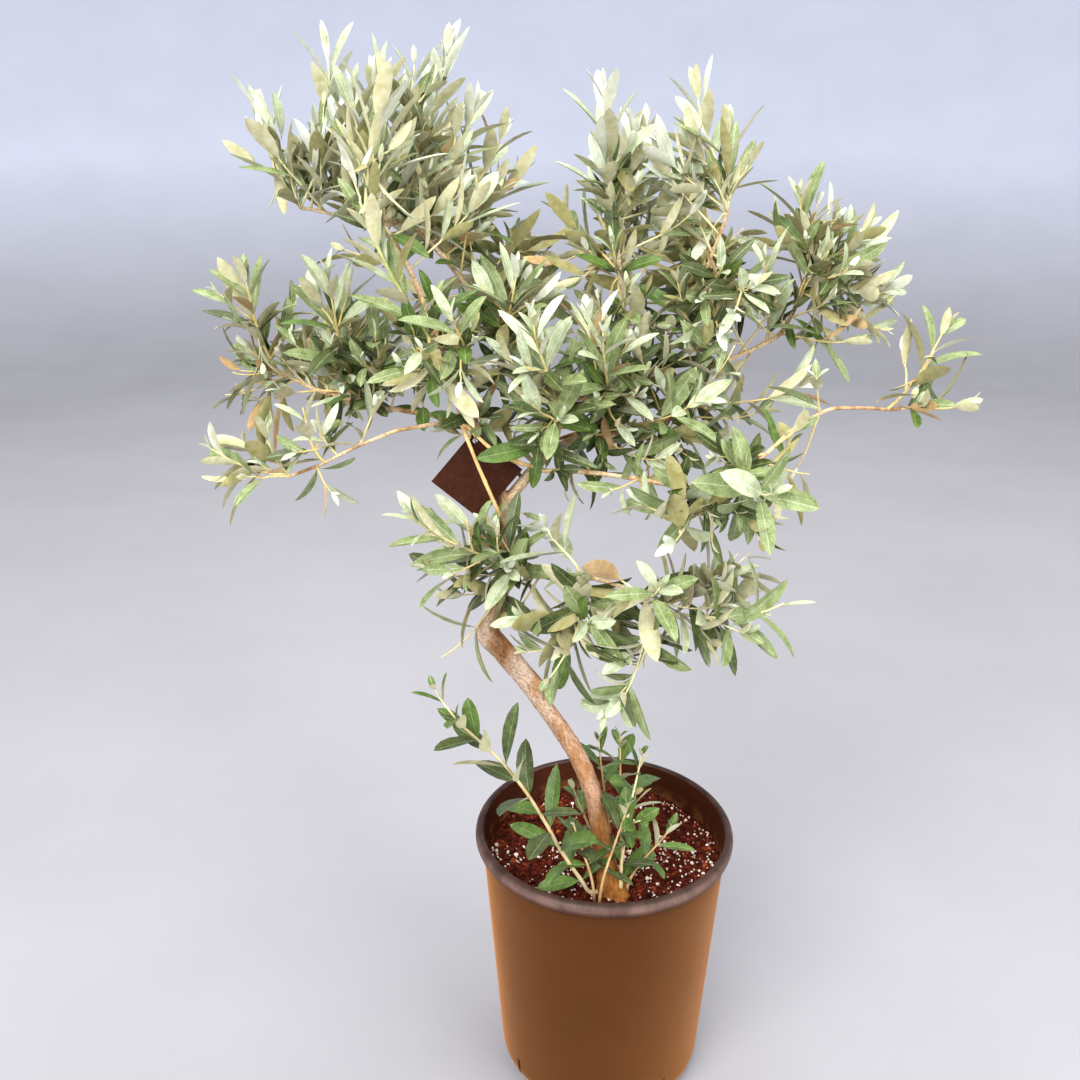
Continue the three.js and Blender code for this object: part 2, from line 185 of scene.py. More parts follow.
# The floor is a disc that sweeps up all round into a low backdrop: its section is a flat run, a
# quarter circle and an upright, carried once round the tree.
FLAT_RUN = 3.6
SWEEP = 3.4
BACKDROP_TOP = 4.2
FLOOR_SIDES = 64
sweep_angle = np.radians(np.linspace(0, 90, 13))
section = np.concatenate([
    [[0.4, 0.0], [1.5, 0.0]],
    np.stack([FLAT_RUN + SWEEP * np.sin(sweep_angle), SWEEP - SWEEP * np.cos(sweep_angle)], axis=1),
    [[FLAT_RUN + SWEEP, BACKDROP_TOP]],
])
round_turns = np.linspace(0, 2 * math.pi, FLOOR_SIDES, endpoint=False)
ring_points = carried_round(section[:, :1], section[:, 1:], round_turns)
row, column = np.meshgrid(np.arange(len(section) - 1), np.arange(FLOOR_SIDES), indexing="ij")
near, far = row * FLOOR_SIDES, (row + 1) * FLOOR_SIDES
after = (column + 1) % FLOOR_SIDES
floor_quads = np.stack([near + column, far + column, far + after, near + after], axis=-1)
floor_mesh = bpy.data.meshes.new("studio_floor")
floor_mesh.from_pydata(ring_points.reshape(-1, 3).tolist(), [],
                       floor_quads.reshape(-1, 4).tolist() + [list(range(FLOOR_SIDES))])
floor_mesh.polygons.foreach_set("use_smooth", np.ones(len(floor_mesh.polygons), bool))
floor_mesh.materials.append(floor_material)
floor = add_object("studio_floor", floor_mesh)

world = bpy.data.worlds.new("studio_daylight")
world.use_nodes = True
world.node_tree.nodes["Background"].inputs["Color"].default_value = tint(212, 214, 222)
world.node_tree.nodes["Background"].inputs["Strength"].default_value = 1.0
bpy.context.scene.world = world

SOFTBOXES = {
    "key": ((-1.95, -3.45, 3.3), (0.0, 0.0, 0.6), 3.3, 260.0),
    "fill": ((3.3, -3.0, 2.15), (0.0, 0.0, 0.5), 3.3, 145.0),
    "top": ((0.26, 0.52, 4.2), (0.0, 0.0, 0.7), 3.4, 100.0),
}
for name, (place, aim, side, power) in SOFTBOXES.items():
    lamp = bpy.data.lights.new(name, "AREA")
    lamp.shape = "SQUARE"
    lamp.size = side
    lamp.energy = power
    lamp.spread = math.radians(140)
    lamp.color = (1.0, 0.99, 0.985)
    softbox = add_object(name, lamp)
    softbox.location = place
    softbox.visible_camera = False
    softbox.rotation_euler = (Vector(aim) - Vector(place)).to_track_quat("-Z", "Y").to_euler()

# ---------------------------------------------------------------------------
# Pot: a deep nursery pot, injection moulded in brown plastic, with a thin wall,
# a rounded foot slit for drainage, and a turned-down lip that stiffens the rim.

POT_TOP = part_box("pot")[1].z
LIP_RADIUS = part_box("pot")[1].x
WALL = 0.002
FOOT_ROUND = 0.024
FOOT_RADIUS = 0.101
BASE_RADIUS = 0.068
BASE_LIFT, BASE_TOP = 0.0012, 0.0030
LIP_FOOT = POT_TOP - 0.0155
LIP_ROLL = (0.0068, 0.0074)
LIP_HOLLOW = (0.0046, 0.0050)
WALL_TOP_RADIUS = 0.1175
SLIT_FOOT, SLIT_TOP, SLIT_HALF = 0.006, 0.034, 0.002
SLITS = 8
FIRST_SLIT = math.radians(-10)
UNDER_STEPS, ROUND_STEPS = 3, 5
SLIT_COLUMNS = 14


def closed_grid(rings, start, end, offset=0):
    """Faces of tubes whose rings are (tube, row, column, 3) arrays, with a fan onto a point at each end.
    The points come back as one list: each tube's rings, then its start, then its end."""
    tubes, rows, columns, _ = rings.shape
    each = rows * columns + 2
    first = offset + np.arange(tubes)[:, None, None] * each
    row = np.arange(rows - 1)[None, :, None] * columns
    column = np.arange(columns)[None, None, :]
    after = (column + 1) % columns
    quads = np.stack([first + row + column, first + row + after,
                      first + row + columns + after, first + row + columns + column], axis=-1)
    last_row = (rows - 1) * columns
    column, after, base = column[0], after[0], first[:, :, 0]
    pole = base + rows * columns + 0 * column
    foot_fan = np.stack([pole, base + after, base + column], axis=-1)
    tip_fan = np.stack([pole + 1, base + last_row + column, base + last_row + after], axis=-1)
    points = np.concatenate([rings.reshape(tubes, -1, 3), start[:, None], end[:, None]], axis=1)
    return points.reshape(-1, 3), quads, np.stack([foot_fan, tip_fan], axis=1)


def make_piece(name, points, quads, triangles, materials, quad_finish=0, triangle_finish=0, crease=None):
    """A mesh object from arrays of points, four-sided and three-sided faces and each face's material.
    Edges sharper than the crease, in degrees, stay sharp."""
    quads = np.asarray(quads).reshape(-1, 4)
    triangles = np.asarray(triangles).reshape(-1, 3)
    mesh = bpy.data.meshes.new(name)
    mesh.vertices.add(len(points))
    mesh.vertices.foreach_set("co", np.asarray(points, np.float32).ravel())
    mesh.loops.add(quads.size + triangles.size)
    corners = np.concatenate([quads.ravel(), triangles.ravel()])
    mesh.loops.foreach_set("vertex_index", corners.astype(np.int32))
    starts = np.concatenate([np.arange(len(quads)) * 4, quads.size + np.arange(len(triangles)) * 3])
    mesh.polygons.add(len(starts))
    mesh.polygons.foreach_set("loop_start", starts.astype(np.int32))
    finish = np.concatenate([np.zeros(len(quads), np.int32) + np.asarray(quad_finish).ravel(),
                             np.zeros(len(triangles), np.int32) + np.asarray(triangle_finish).ravel()])
    mesh.polygons.foreach_set("material_index", finish.astype(np.int32))
    mesh.update(calc_edges=True)
    mesh.polygons.foreach_set("use_smooth", np.ones(len(starts), bool))
    if crease:
        mesh.set_sharp_from_angle(angle=math.radians(crease))
    for material in materials:
        mesh.materials.append(material)
    return add_object(name, mesh)


def arc(centre, radius, first, last, steps):
    """Points of a round in a section: (distance from the axis, height), angles from straight down."""
    angle = np.radians(np.linspace(first, last, steps + 1))
    return np.stack([centre[0] + radius * np.sin(angle), centre[1] - radius * np.cos(angle)], axis=1)


def wall_radius(height):
    """Outside of the straight wall, which widens evenly from the foot round to the lip."""
    rise = (height - FOOT_ROUND) / (LIP_FOOT - FOOT_ROUND)
    return FOOT_RADIUS + (WALL_TOP_RADIUS - FOOT_RADIUS) * rise


round_centre = (FOOT_RADIUS - FOOT_ROUND, FOOT_ROUND)
slit_start_angle = math.degrees(math.acos((FOOT_ROUND - SLIT_FOOT) / FOOT_ROUND))
wall_heights = np.array([SLIT_TOP, 0.06, 0.10, 0.14, 0.18, 0.22])


def wall_section(inset):
    """Foot round and straight wall, from the foot up, drawn in from the outside by inset."""
    radius = FOOT_ROUND - inset
    return np.concatenate([
        arc(round_centre, radius, 0, slit_start_angle, UNDER_STEPS)[:-1],
        arc(round_centre, radius, slit_start_angle, 90, ROUND_STEPS),
        np.stack([wall_radius(wall_heights) - inset, wall_heights], axis=1),
    ])


outer_wall = wall_section(0.0)
inner_wall = wall_section(WALL)
lip_outer = LIP_RADIUS - 0.0005
lip_middle = (lip_outer - LIP_ROLL[0], POT_TOP - LIP_ROLL[1])
hollow_middle = (lip_middle[0] - 0.0002, lip_middle[1] - 0.0006)
roll = arc((0.0, 0.0), 1.0, 32, 180, 12) * LIP_ROLL + lip_middle
hollow = arc((0.0, 0.0), 1.0, 150, 40, 5) * LIP_HOLLOW + hollow_middle
lip = np.concatenate([
    [[WALL_TOP_RADIUS, LIP_FOOT], [WALL_TOP_RADIUS + 0.0004, POT_TOP - 0.0068]],
    hollow, [[roll[0, 0] - 0.0010, roll[0, 1] - 0.0004]], roll,
    [[WALL_TOP_RADIUS - 0.0006, POT_TOP - 0.0006], [WALL_TOP_RADIUS - 0.0012, POT_TOP - 0.0026]],
])
section = np.concatenate([
    [[0.035, BASE_LIFT], [BASE_RADIUS - 0.002, BASE_LIFT], [BASE_RADIUS, 0.0]],
    outer_wall, lip, inner_wall[::-1],
    [[BASE_RADIUS, BASE_TOP], [0.035, BASE_TOP]],
])
outer_rows = 3
inner_rows = len(section) - 2 - len(inner_wall)

slit_angles = FIRST_SLIT + np.arange(SLITS) * 2 * math.pi / SLITS
slit_turn = SLIT_HALF / FOOT_RADIUS
between = np.linspace(slit_turn, 2 * math.pi / SLITS - slit_turn, SLIT_COLUMNS)
turns = (slit_angles[:, None] + np.concatenate([[-slit_turn], between[:-1]])[None, :]).ravel()

# Moulding leaves the wall slightly oval towards the top.
out_of_true = 1 + 0.0022 * np.cos(2 * (turns - 0.7))[None, :] * (section[:, 1:] / POT_TOP) ** 2
ring_radius = section[:, :1] * np.where(section[:, 1:] > 0.05, out_of_true, 1.0)
rings = carried_round(ring_radius, section[:, 1:], turns)[None]
points, quads, fans = closed_grid(rings, np.array([[0.0, 0.0, BASE_LIFT]]), np.array([[0.0, 0.0, BASE_TOP]]))

# Each slit leaves out the faces of one column, outside and inside, and gets walls between the two.
rows_now, columns_now = section.shape[0], turns.size
slit_columns = np.arange(SLITS) * SLIT_COLUMNS
keep = np.ones((rows_now - 1, columns_now), bool)
low_row = outer_rows + UNDER_STEPS
high_row = low_row + ROUND_STEPS + 1
inner_low = inner_rows + len(inner_wall) - 1 - UNDER_STEPS
inner_high = inner_low - ROUND_STEPS - 1
keep[low_row:high_row, slit_columns] = False
keep[inner_high:inner_low, slit_columns] = False
steps_up = np.arange(high_row - low_row)
outer_at = low_row + steps_up
inner_at = inner_low - steps_up
slit_walls = []
for column in slit_columns:
    left, right = column, (column + 1) % columns_now
    outside, inside = outer_at * columns_now, inner_at * columns_now
    slit_walls.append(np.stack([outside + left, inside + left,
                                inside - columns_now + left, outside + columns_now + left], axis=1))
    slit_walls.append(np.stack([outside + right, outside + columns_now + right,
                                inside - columns_now + right, inside + right], axis=1))
    slit_walls.append([[low_row * columns_now + left, low_row * columns_now + right,
                        inner_low * columns_now + right, inner_low * columns_now + left],
                       [high_row * columns_now + right, high_row * columns_now + left,
                        inner_high * columns_now + left, inner_high * columns_now + right]])
quads = np.concatenate([quads[0][keep], *slit_walls])

pot_material, tree, shader = new_material("moulded_brown_plastic", 0.5, 0.07)
shader.inputs["Sheen Weight"].default_value = 0.62
shader.inputs["Sheen Roughness"].default_value = 0.48
shader.inputs["Sheen Tint"].default_value = tint(240, 162, 92)
cloud = ramp(tree, noise(tree, 9.0, 4.0), [(0.32, tint(48, 21, 3)), (0.68, tint(57, 27, 5))])
dust = ramp(tree, noise(tree, 420.0, 2.0), [(0.70, tint(0, 0, 0)), (0.78, tint(90, 90, 90))])
body = blend_colours(tree, dust, cloud, tint(160, 118, 80))
tree.links.new(body, shader.inputs["Base Color"])
gloss = ramp(tree, noise(tree, 14.0, 3.0), [(0.3, (0.42, 0.42, 0.42, 1)), (0.7, (0.54, 0.54, 0.54, 1))])
tree.links.new(gloss, shader.inputs["Roughness"])
bump(tree, shader, noise(tree, 700.0, 2.0), 0.10, 0.0004)

# Painted highlight and reflection: the lip's colour runs up from the body's brown to a pale grey band along
# the roll's shoulder and darker again at its top; the scratches over it are real wear.
rim_material, tree, shader = new_material("worn_rim_painted_highlight", 0.42, 0.16)
painted_highlight_band = ramp(tree, height_share(tree, LIP_FOOT, POT_TOP), [
    (0.0, tint(64, 33, 18)), (0.35, tint(76, 48, 35)), (0.62, tint(106, 83, 75)),
    (0.80, tint(92, 71, 63)), (0.93, tint(66, 47, 40)), (1.0, tint(58, 41, 34))])
scratches = ramp(tree, noise(tree, 60.0, 6.0, (1, 1, 0.5)), [
    (0.35, tint(168, 158, 154)), (0.6, tint(255, 255, 255))])
tree.links.new(blend_colours(tree, 0.8, painted_highlight_band, scratches, "MULTIPLY"), shader.inputs["Base Color"])
bump(tree, shader, noise(tree, 420.0, 4.0), 0.18, 0.0006)

# Heights on the inner wall between which the dust of the mix sets in.
DUST_TOP, DUST_FULL = 0.252, 0.234
inner_material, tree, shader = new_material("dusty_inner_wall", 0.62, 0.08)
dark = ramp(tree, noise(tree, 24.0, 4.0), [(0.3, tint(48, 19, 7)), (0.7, tint(60, 26, 10))])
patch = ramp(tree, noise(tree, 60.0, 5.0), [(0.42, tint(0, 0, 0)), (0.6, tint(255, 255, 255))])
dusty = blend_colours(tree, height_share(tree, DUST_TOP, DUST_FULL), tint(0, 0, 0), patch)
tree.links.new(blend_colours(tree, dusty, dark, tint(118, 76, 40)), shader.inputs["Base Color"])
bump(tree, shader, noise(tree, 300.0, 3.0), 0.2, 0.0008)

row_of_face = np.concatenate([
    np.broadcast_to(np.arange(rows_now - 1)[:, None], keep.shape)[keep],
    np.zeros(len(quads) - keep.sum(), int),
])
lip_row = outer_rows + len(outer_wall)
pot_finish = np.where(row_of_face >= inner_rows - 1, 2, np.where(row_of_face >= lip_row, 1, 0))
pot = make_piece("nursery_pot", points, quads, fans, [pot_material, rim_material, inner_material],
                 pot_finish, 0, 40)
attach(pot, "root")
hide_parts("pot")

# ---------------------------------------------------------------------------
# Potting mix: dark peat and bark fines with white perlite, a crumbly surface
# a little below the pot's rim, in gentle mounds.

SOIL_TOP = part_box("potting_mix")[1].z
SOIL_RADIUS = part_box("potting_mix")[1].x + 0.0003
CRUST_UNDER = SOIL_TOP - 0.002
PERLITE_GRAINS = 860
BARK_CHIPS = 1500
size_dice = np.random.default_rng(11)


def waves(across, along, count, turns, pitch, seed):
    """Seeded unevenness, about one high: a sum of cosine waves, each with a whole number of turns in
    across (radians) and a random number of waves per metre in along."""
    dice = np.random.default_rng(seed)
    total = np.zeros(np.broadcast(across, along).shape)
    for _ in range(count):
        turn = dice.integers(turns[0], turns[1] + 1) * dice.choice([-1, 1])
        rate = dice.uniform(*pitch) * 2 * math.pi
        total = total + np.cos(turn * across + rate * along + dice.uniform(0, 2 * math.pi))
    return total / math.sqrt(count / 2)


def ground_height(x, y):
    """Height of the mix at a place: gentle mounds and crumbs as crossed seeded waves."""
    mounds = waves(x * 40, y, 8, (0, 2), (-12, 12), 5)
    crumbs = waves(x * 260, y, 14, (0, 3), (-140, 140), 6)
    return SOIL_TOP + 0.0026 + 0.0011 * mounds + 0.0007 * crumbs


crust_radii = np.linspace(0.0, 1.0, 70)[1:] ** 0.8 * SOIL_RADIUS
crust_turns = np.linspace(0, 2 * math.pi, 180, endpoint=False)
x = crust_radii[::-1, None] * np.cos(crust_turns)
y = crust_radii[::-1, None] * np.sin(crust_turns)
top_rows = np.stack([x, y, ground_height(x, y)], axis=-1)
under_rows = top_rows[:1].copy()
under_rows[..., 2] = CRUST_UNDER
rings = np.concatenate([under_rows, top_rows])[None]
points, quads, fans = closed_grid(
    rings, np.array([[0, 0, CRUST_UNDER]]), np.array([[0, 0, float(ground_height(0.0, 0.0))]]))

soil_material = mottled_material("peat_and_bark_fines", 0.92, 0.06, (260.0, 6.0), [
    (0.30, tint(26, 8, 4)), (0.50, tint(60, 20, 11)), (0.66, tint(102, 40, 24)), (0.78, tint(152, 84, 58)),
], (500.0, 5.0), 0.8, 0.002)
crust = make_piece("potting_mix_surface", points, quads, fans, [soil_material])
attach(crust, "root")


def refinish(node_name, material):
    """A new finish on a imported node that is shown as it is."""
    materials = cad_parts[node_name].data.materials
    materials.clear()
    materials.append(material)


refinish("potting_mix", soil_material)

GOLDEN = (1 + 5 ** 0.5) / 2
ICO_POINTS = np.array([[s, GOLDEN * t, 0] for s in (-1, 1) for t in (-1, 1)])
ICO_POINTS = np.concatenate([ICO_POINTS, ICO_POINTS[:, [2, 0, 1]], ICO_POINTS[:, [1, 2, 0]]])
ICO_POINTS /= np.linalg.norm(ICO_POINTS[0])


def hull_faces(points):
    """Every triangle of nearest neighbours on a regular twenty-sided solid, turned to face outwards."""
    gap = np.linalg.norm(points[:, None] - points[None], axis=2)
    near = (gap > 0) & (gap < gap[gap > 0].min() * 1.05)
    a, b, c = np.nonzero(near[:, :, None] & near[None] & near[:, None, :])
    found = np.stack([a, b, c], axis=1)[(a < b) & (b < c)]
    p, q, r = (points[found[:, i]] for i in range(3))
    inward = (np.cross(q - p, r - p) * (p + q + r)).sum(1) < 0
    found[inward] = found[inward][:, ::-1]
    return found


ICO_FACES = hull_faces(ICO_POINTS)


def grains(places, size, stretch, seed):
    """Irregular grains: the twenty-sided solid with each corner drawn in or out, squashed, and turned."""
    dice = np.random.default_rng(seed)
    count = len(places)
    shape = ICO_POINTS[None] * dice.uniform(0.72, 1.15, (count, 12, 1))
    shape = shape * dice.uniform(1 - stretch, 1 + stretch, (count, 1, 3)) * size[:, None, None]
    spin, _ = np.linalg.qr(dice.normal(size=(count, 3, 3)))
    spin *= np.sign(np.linalg.det(spin))[:, None, None]
    points = np.einsum("nij,nkj->nki", spin, shape) + places[:, None]
    faces = ICO_FACES[None] + np.arange(count)[:, None, None] * 12
    return points.reshape(-1, 3), faces.reshape(-1, 3)


def scatter(count, lift, seed, drift=0.0):
    """Places spread over the mix, each a little proud of its surface. With drift they are the ones that
    lie highest on a few seeded waves and a slope to one side, so that the grains lie in drifts."""
    dice = np.random.default_rng(seed)
    many = count * 3
    radius = np.sqrt(dice.uniform(0, 1, many)) * (SOIL_RADIUS - 0.003)
    turn = dice.uniform(0, 2 * math.pi, many)
    x, y = radius * np.cos(turn), radius * np.sin(turn)
    liking = drift * (waves(x * 50, y, 7, (0, 2), (-18, 18), seed + 1) + 9 * x) + dice.normal(0, 1, many)
    chosen = np.argsort(-liking)[:count]
    x, y = x[chosen], y[chosen]
    return np.stack([x, y, ground_height(x, y) + lift], axis=1)


perlite_material = mottled_material("perlite", 0.85, 0.3, (300.0, 3.0), [
    (0.3, tint(206, 176, 150)), (0.6, tint(240, 228, 212)),
], (900.0, 3.0), 0.4, 0.001)
perlite_size = size_dice.lognormal(math.log(0.00092), 0.45, PERLITE_GRAINS).clip(0.0004, 0.0028)
points, faces = grains(scatter(PERLITE_GRAINS, 0.0004, 21, 0.9), perlite_size, 0.22, 22)
perlite = make_piece("perlite_grains", points, [], faces, [perlite_material], crease=25)
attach(perlite, "root")

chip_material = mottled_material("bark_chips", 0.88, 0.08, (120.0, 2.0), [
    (0.34, tint(38, 11, 6)), (0.5, tint(80, 28, 15)), (0.62, tint(120, 50, 27)), (0.74, tint(166, 94, 56)),
], (600.0, 4.0), 0.6, 0.001)
chip_size = size_dice.lognormal(math.log(0.0017), 0.4, BARK_CHIPS).clip(0.0007, 0.0042)
points, faces = grains(scatter(BARK_CHIPS, 0.0002, 31), chip_size, 0.45, 32)
chips = make_piece("bark_chips", points, [], faces, [chip_material], crease=25)
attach(chips, "root")

# ---------------------------------------------------------------------------
# Trunk and boughs: one leaning trunk with a knee where a limb was pruned off,
# and boughs that leave it as tapering limbs. The bark is thin, tan and cracked.

LIMBS = ["trunk", "leader"] + sorted(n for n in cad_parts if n.startswith("bough_"))
LIMBS += ["branch_front_long", "branch_front_short", "shoot_young", "sprout_stem_left", "sprout_stem_right"]
CUT_STEP = 0.005
TIP_NEAR, TIP_AHEAD = 0.012, 0.05


def node_triangles(name):
    """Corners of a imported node's triangles, in metres."""
    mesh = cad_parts[name].data
    mesh.calc_loop_triangles()
    points = np.empty(len(mesh.vertices) * 3, np.float32)
    mesh.vertices.foreach_get("co", points)
    corners = np.empty(len(mesh.loop_triangles) * 3, np.int32)
    mesh.loop_triangles.foreach_get("vertices", corners)
    return points.reshape(-1, 3)[corners].reshape(-1, 3, 3).astype(float)


def unit(vectors):
    """Vectors brought to a length of one."""
    return vectors / np.maximum(np.linalg.norm(vectors, axis=-1, keepdims=True), 1e-12)


def centreline(name, carriers):
    """A limb's middle and radius from foot to tip: planes square to the way are cut through its packed
    tube from the tip on, and each cut's middle and reach are kept. The foot is led into its carrier,
    which only the trunk, the first of the limbs, doesn't have."""
    triangles = node_triangles(name)
    points = triangles.reshape(-1, 3)
    next_points = triangles[:, [1, 2, 0]].reshape(-1, 3)
    first_end = points[np.argmax(np.linalg.norm(points - points.mean(0), axis=1))]
    other_end = points[np.argmax(np.linalg.norm(points - first_end, axis=1))]
    if carriers is None:
        tip = max(first_end, other_end, key=lambda end: end[2])
    else:
        tip = max(first_end, other_end, key=lambda end: np.linalg.norm(carriers - end, axis=1).min())
    from_tip = np.linalg.norm(points - tip, axis=1)
    close = points[from_tip < TIP_NEAR]
    here = close.mean(0)
    ahead = unit(points[from_tip < TIP_AHEAD].mean(0) - here)
    middles, reaches = [], []
    reach = np.linalg.norm(close - here, axis=1).max()
    for _ in range(400):
        target = here + ahead * CUT_STEP
        before = (points - target) @ ahead
        after = (next_points - target) @ ahead
        crosses = before * after < 0
        share = (before / (before - after))[crosses][:, None]
        cut = points[crosses] * (1 - share) + next_points[crosses] * share
        cut = cut[np.linalg.norm(cut - target, axis=1) < 2.0 * reach + 0.002]
        if len(cut) < 5:
            break
        middle = (cut.min(0) + cut.max(0)) / 2
        reach = np.linalg.norm(cut - middle, axis=1).max()
        middles.append(middle)
        reaches.append(reach)
        ahead = unit(0.6 * ahead + 0.4 * unit(middle - here)) if len(middles) > 1 else ahead
        here = middle
    middles, reaches = np.array(middles[::-1]), np.array(reaches[::-1])
    if carriers is not None:
        seat = carriers[np.argmin(np.linalg.norm(carriers - middles[0], axis=1))]
        middles = np.concatenate([[seat], middles[1:]])
    middles = np.concatenate([middles, [tip]])
    reaches = np.append(reaches, reaches[-1] * 0.9)
    return middles, reaches


def run_along(points):
    """Length of a line from its start to each of its points."""
    return np.concatenate([[0], np.cumsum(np.linalg.norm(np.diff(points, axis=0), axis=1))])


def read_at(at, length, rows):
    """Rows known at some lengths along a line, read off at others."""
    return np.stack([np.interp(at, length, column) for column in rows.T], axis=-1)


def smooth_line(points, radii, spacing, soften=0.010):
    """A line resampled at even spacing after a short running mean has rounded its corners."""
    length = run_along(points)
    fine = np.arange(0, length[-1], 0.001)
    values = read_at(fine, length, np.column_stack([points, radii]))
    width = int(soften * 1000)
    kernel = np.hanning(2 * width + 3)[1:-1]
    kernel /= kernel.sum()
    padded = np.concatenate([2 * values[:1] - values[1:width + 1][::-1], values,
                             2 * values[-1:] - values[-width - 1:-1][::-1]])
    rounded = np.stack([np.convolve(column, kernel, "valid") for column in padded.T], axis=1)
    at = np.linspace(0, fine[-1], max(8, int(round(fine[-1] / spacing)) + 1))
    rounded = read_at(at, fine, rounded)
    return rounded[:, :3], rounded[:, 3], at


def square_axes(lines):
    """The way along one or more lines at each of their points and two directions square to it, made
    from the fixed axis that is least in line with each."""
    along = unit(np.gradient(lines, axis=-2))
    fixed = np.eye(3)[np.argmin(np.abs(along).max(-2), axis=-1)][..., None, :]
    first = unit(fixed - (along * fixed).sum(-1, keepdims=True) * along)
    return along, first, np.cross(along, first)


def rings_round(line, reach, turn, first, second):
    """Points round a line: at each turn, the first direction by its cosine and the second by its sine,
    out to the reach there."""
    around = np.cos(turn)[..., None] * first[..., None, :] + np.sin(turn)[..., None] * second[..., None, :]
    return line[..., None, :] + reach[..., None] * around


# The trunk's line starts a little below the mix, so that the bark goes down into it.
limb_lines = {}
for name in LIMBS:
    carriers = np.concatenate([line for line, _ in limb_lines.values()]) if limb_lines else None
    middles, reaches = centreline(name, carriers)
    if name == "trunk":
        middles = np.concatenate([middles[:1] + [[0.004, -0.001, -0.020]], middles])
        reaches = np.concatenate([reaches[:1], reaches])
    line, radii, _ = smooth_line(middles, reaches, 0.004)
    limb_lines[name] = (line, radii)

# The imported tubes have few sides, measured to their corners: the round bark is drawn inside them.
LIMB_SLIM = {
    "trunk": 0.97, "leader": 1.0, "bough_right": 0.88, "bough_low": 0.72, "bough_left_arch": 0.66,
    "bough_far_right": 0.72, "sprout_stem_left": 0.66, "sprout_stem_right": 0.8,
}
# Knots on the trunk: share of its length, turn round it in radians, and size.
KNOTS = [(0.30, 3.6, 1.5), (0.55, 5.2, 1.2), (0.72, 4.4, 1.4), (0.44, 2.0, 0.9), (0.86, 0.8, 1.1)]
SCAR_GAP = 0.023


def bark_tube(name, spacing, sides, coarse, seed):
    """A limb's skin: its radius along the line, plus long lumps, lengthwise cracks as folded waves and
    paired leaf-scar swellings a few centimetres apart, all as shares of the radius. The trunk also has
    knots, round bosses with a dip in each, and a rough flare at its foot in three soft ridges."""
    middles, reaches = limb_lines[name]
    line, radii, at = smooth_line(middles, reaches, spacing, 0.006)
    along, first, second = square_axes(line)
    turn = np.linspace(0, 2 * math.pi, sides, endpoint=False)[None, :]
    s = at[:, None]
    lumps = waves(turn, s, 10, (1, 3), (8, 30), seed)
    cracks = 1 - 2 * np.abs(waves(turn, s, 16, (3, 10), (6, 34), seed + 1)).clip(0, 1)
    flakes = waves(turn, s, 24, (6, 14), (50, 170), seed + 2)
    scars = np.zeros_like(lumps)
    for k, place in enumerate(np.arange(0.02, at[-1], SCAR_GAP)):
        pair = 0.5 + 0.5 * np.cos(2 * (turn - k * math.pi / 2))
        scars = scars + np.exp(-((s - place) / 0.0025) ** 2) * pair
    relief = radii[:, None] * (coarse * (0.5 * lumps + 0.45 * cracks + 0.22 * flakes) + 0.09 * scars)
    if name == "trunk":
        flare = np.exp(-(line[:, 2:] - SOIL_TOP).clip(0) / 0.020)
        relief = relief * (1 + 1.8 * flare) + flare * (0.0036 + 0.0012 * np.cos(3 * turn + 0.6))
    for share, boss_turn, size in KNOTS if name == "trunk" else []:
        swing = (turn - boss_turn + math.pi) % (2 * math.pi) - math.pi
        far = np.sqrt((s - share * at[-1]) ** 2 + (swing * radii[:, None]) ** 2) / (0.004 * size)
        relief = relief + 0.0012 * size * np.exp(-far ** 2) - 0.0011 * size * np.exp(-(far * 2.4) ** 2)
    rings = rings_round(line, radii[:, None] * LIMB_SLIM.get(name, 0.80) + relief, turn, first, second)
    depth = (0.5 + 0.5 * (0.7 * cracks + 0.5 * flakes)).clip(0, 1)
    return rings, line[0], line[-1] + along[-1] * radii[-1] * 0.5, depth


# Heights between which the bark turns from its dry colour to the warm one at the trunk's foot.
WARM_FROM, WARM_FULL = 0.470, 0.262


def bark_material(name, pale, mid, dark, foot):
    """Bark: mottled by broad and fine noise, with painted shade in its cracks, and warmer close to the
    ground.
    """
    material, tree, shader = new_material(name, 0.82, 0.25)
    broad = ramp(tree, noise(tree, 48.0, 5.0, (1, 1, 0.4)), [(0.35, dark), (0.44, mid), (0.56, pale)])
    fine = ramp(tree, noise(tree, 520.0, 4.0), [(0.36, tint(116, 94, 76)), (0.58, tint(255, 255, 255))])
    base = blend_colours(tree, 0.5, broad, fine, "MULTIPLY")
    # Painted shade: the colour darkens where the bark's cracks sink in.
    crack = tree.nodes.new("ShaderNodeAttribute")
    crack.attribute_name = "crack"
    shade = ramp(tree, crack.outputs["Fac"], [(0.05, tint(150, 116, 84)), (0.38, tint(255, 255, 255))])
    base = blend_colours(tree, 0.4, base, shade, "MULTIPLY")
    fibres = ramp(tree, noise(tree, 300.0, 5.0, (1, 1, 0.5)), [(0.36, tint(122, 70, 24)), (0.62, foot)])
    base = blend_colours(tree, height_share(tree, WARM_FROM, WARM_FULL), base, fibres)
    tree.links.new(base, shader.inputs["Base Color"])
    bump(tree, shader, noise(tree, 800.0, 5.0, (1, 1, 0.45)), 0.45, 0.0012)
    return material


trunk_bark = bark_material(
    "trunk_bark", tint(206, 183, 162), tint(176, 138, 102), tint(142, 96, 54), tint(160, 104, 44))
bough_bark = bark_material(
    "bough_bark", tint(220, 196, 158), tint(200, 166, 122), tint(160, 120, 80), tint(190, 144, 98))


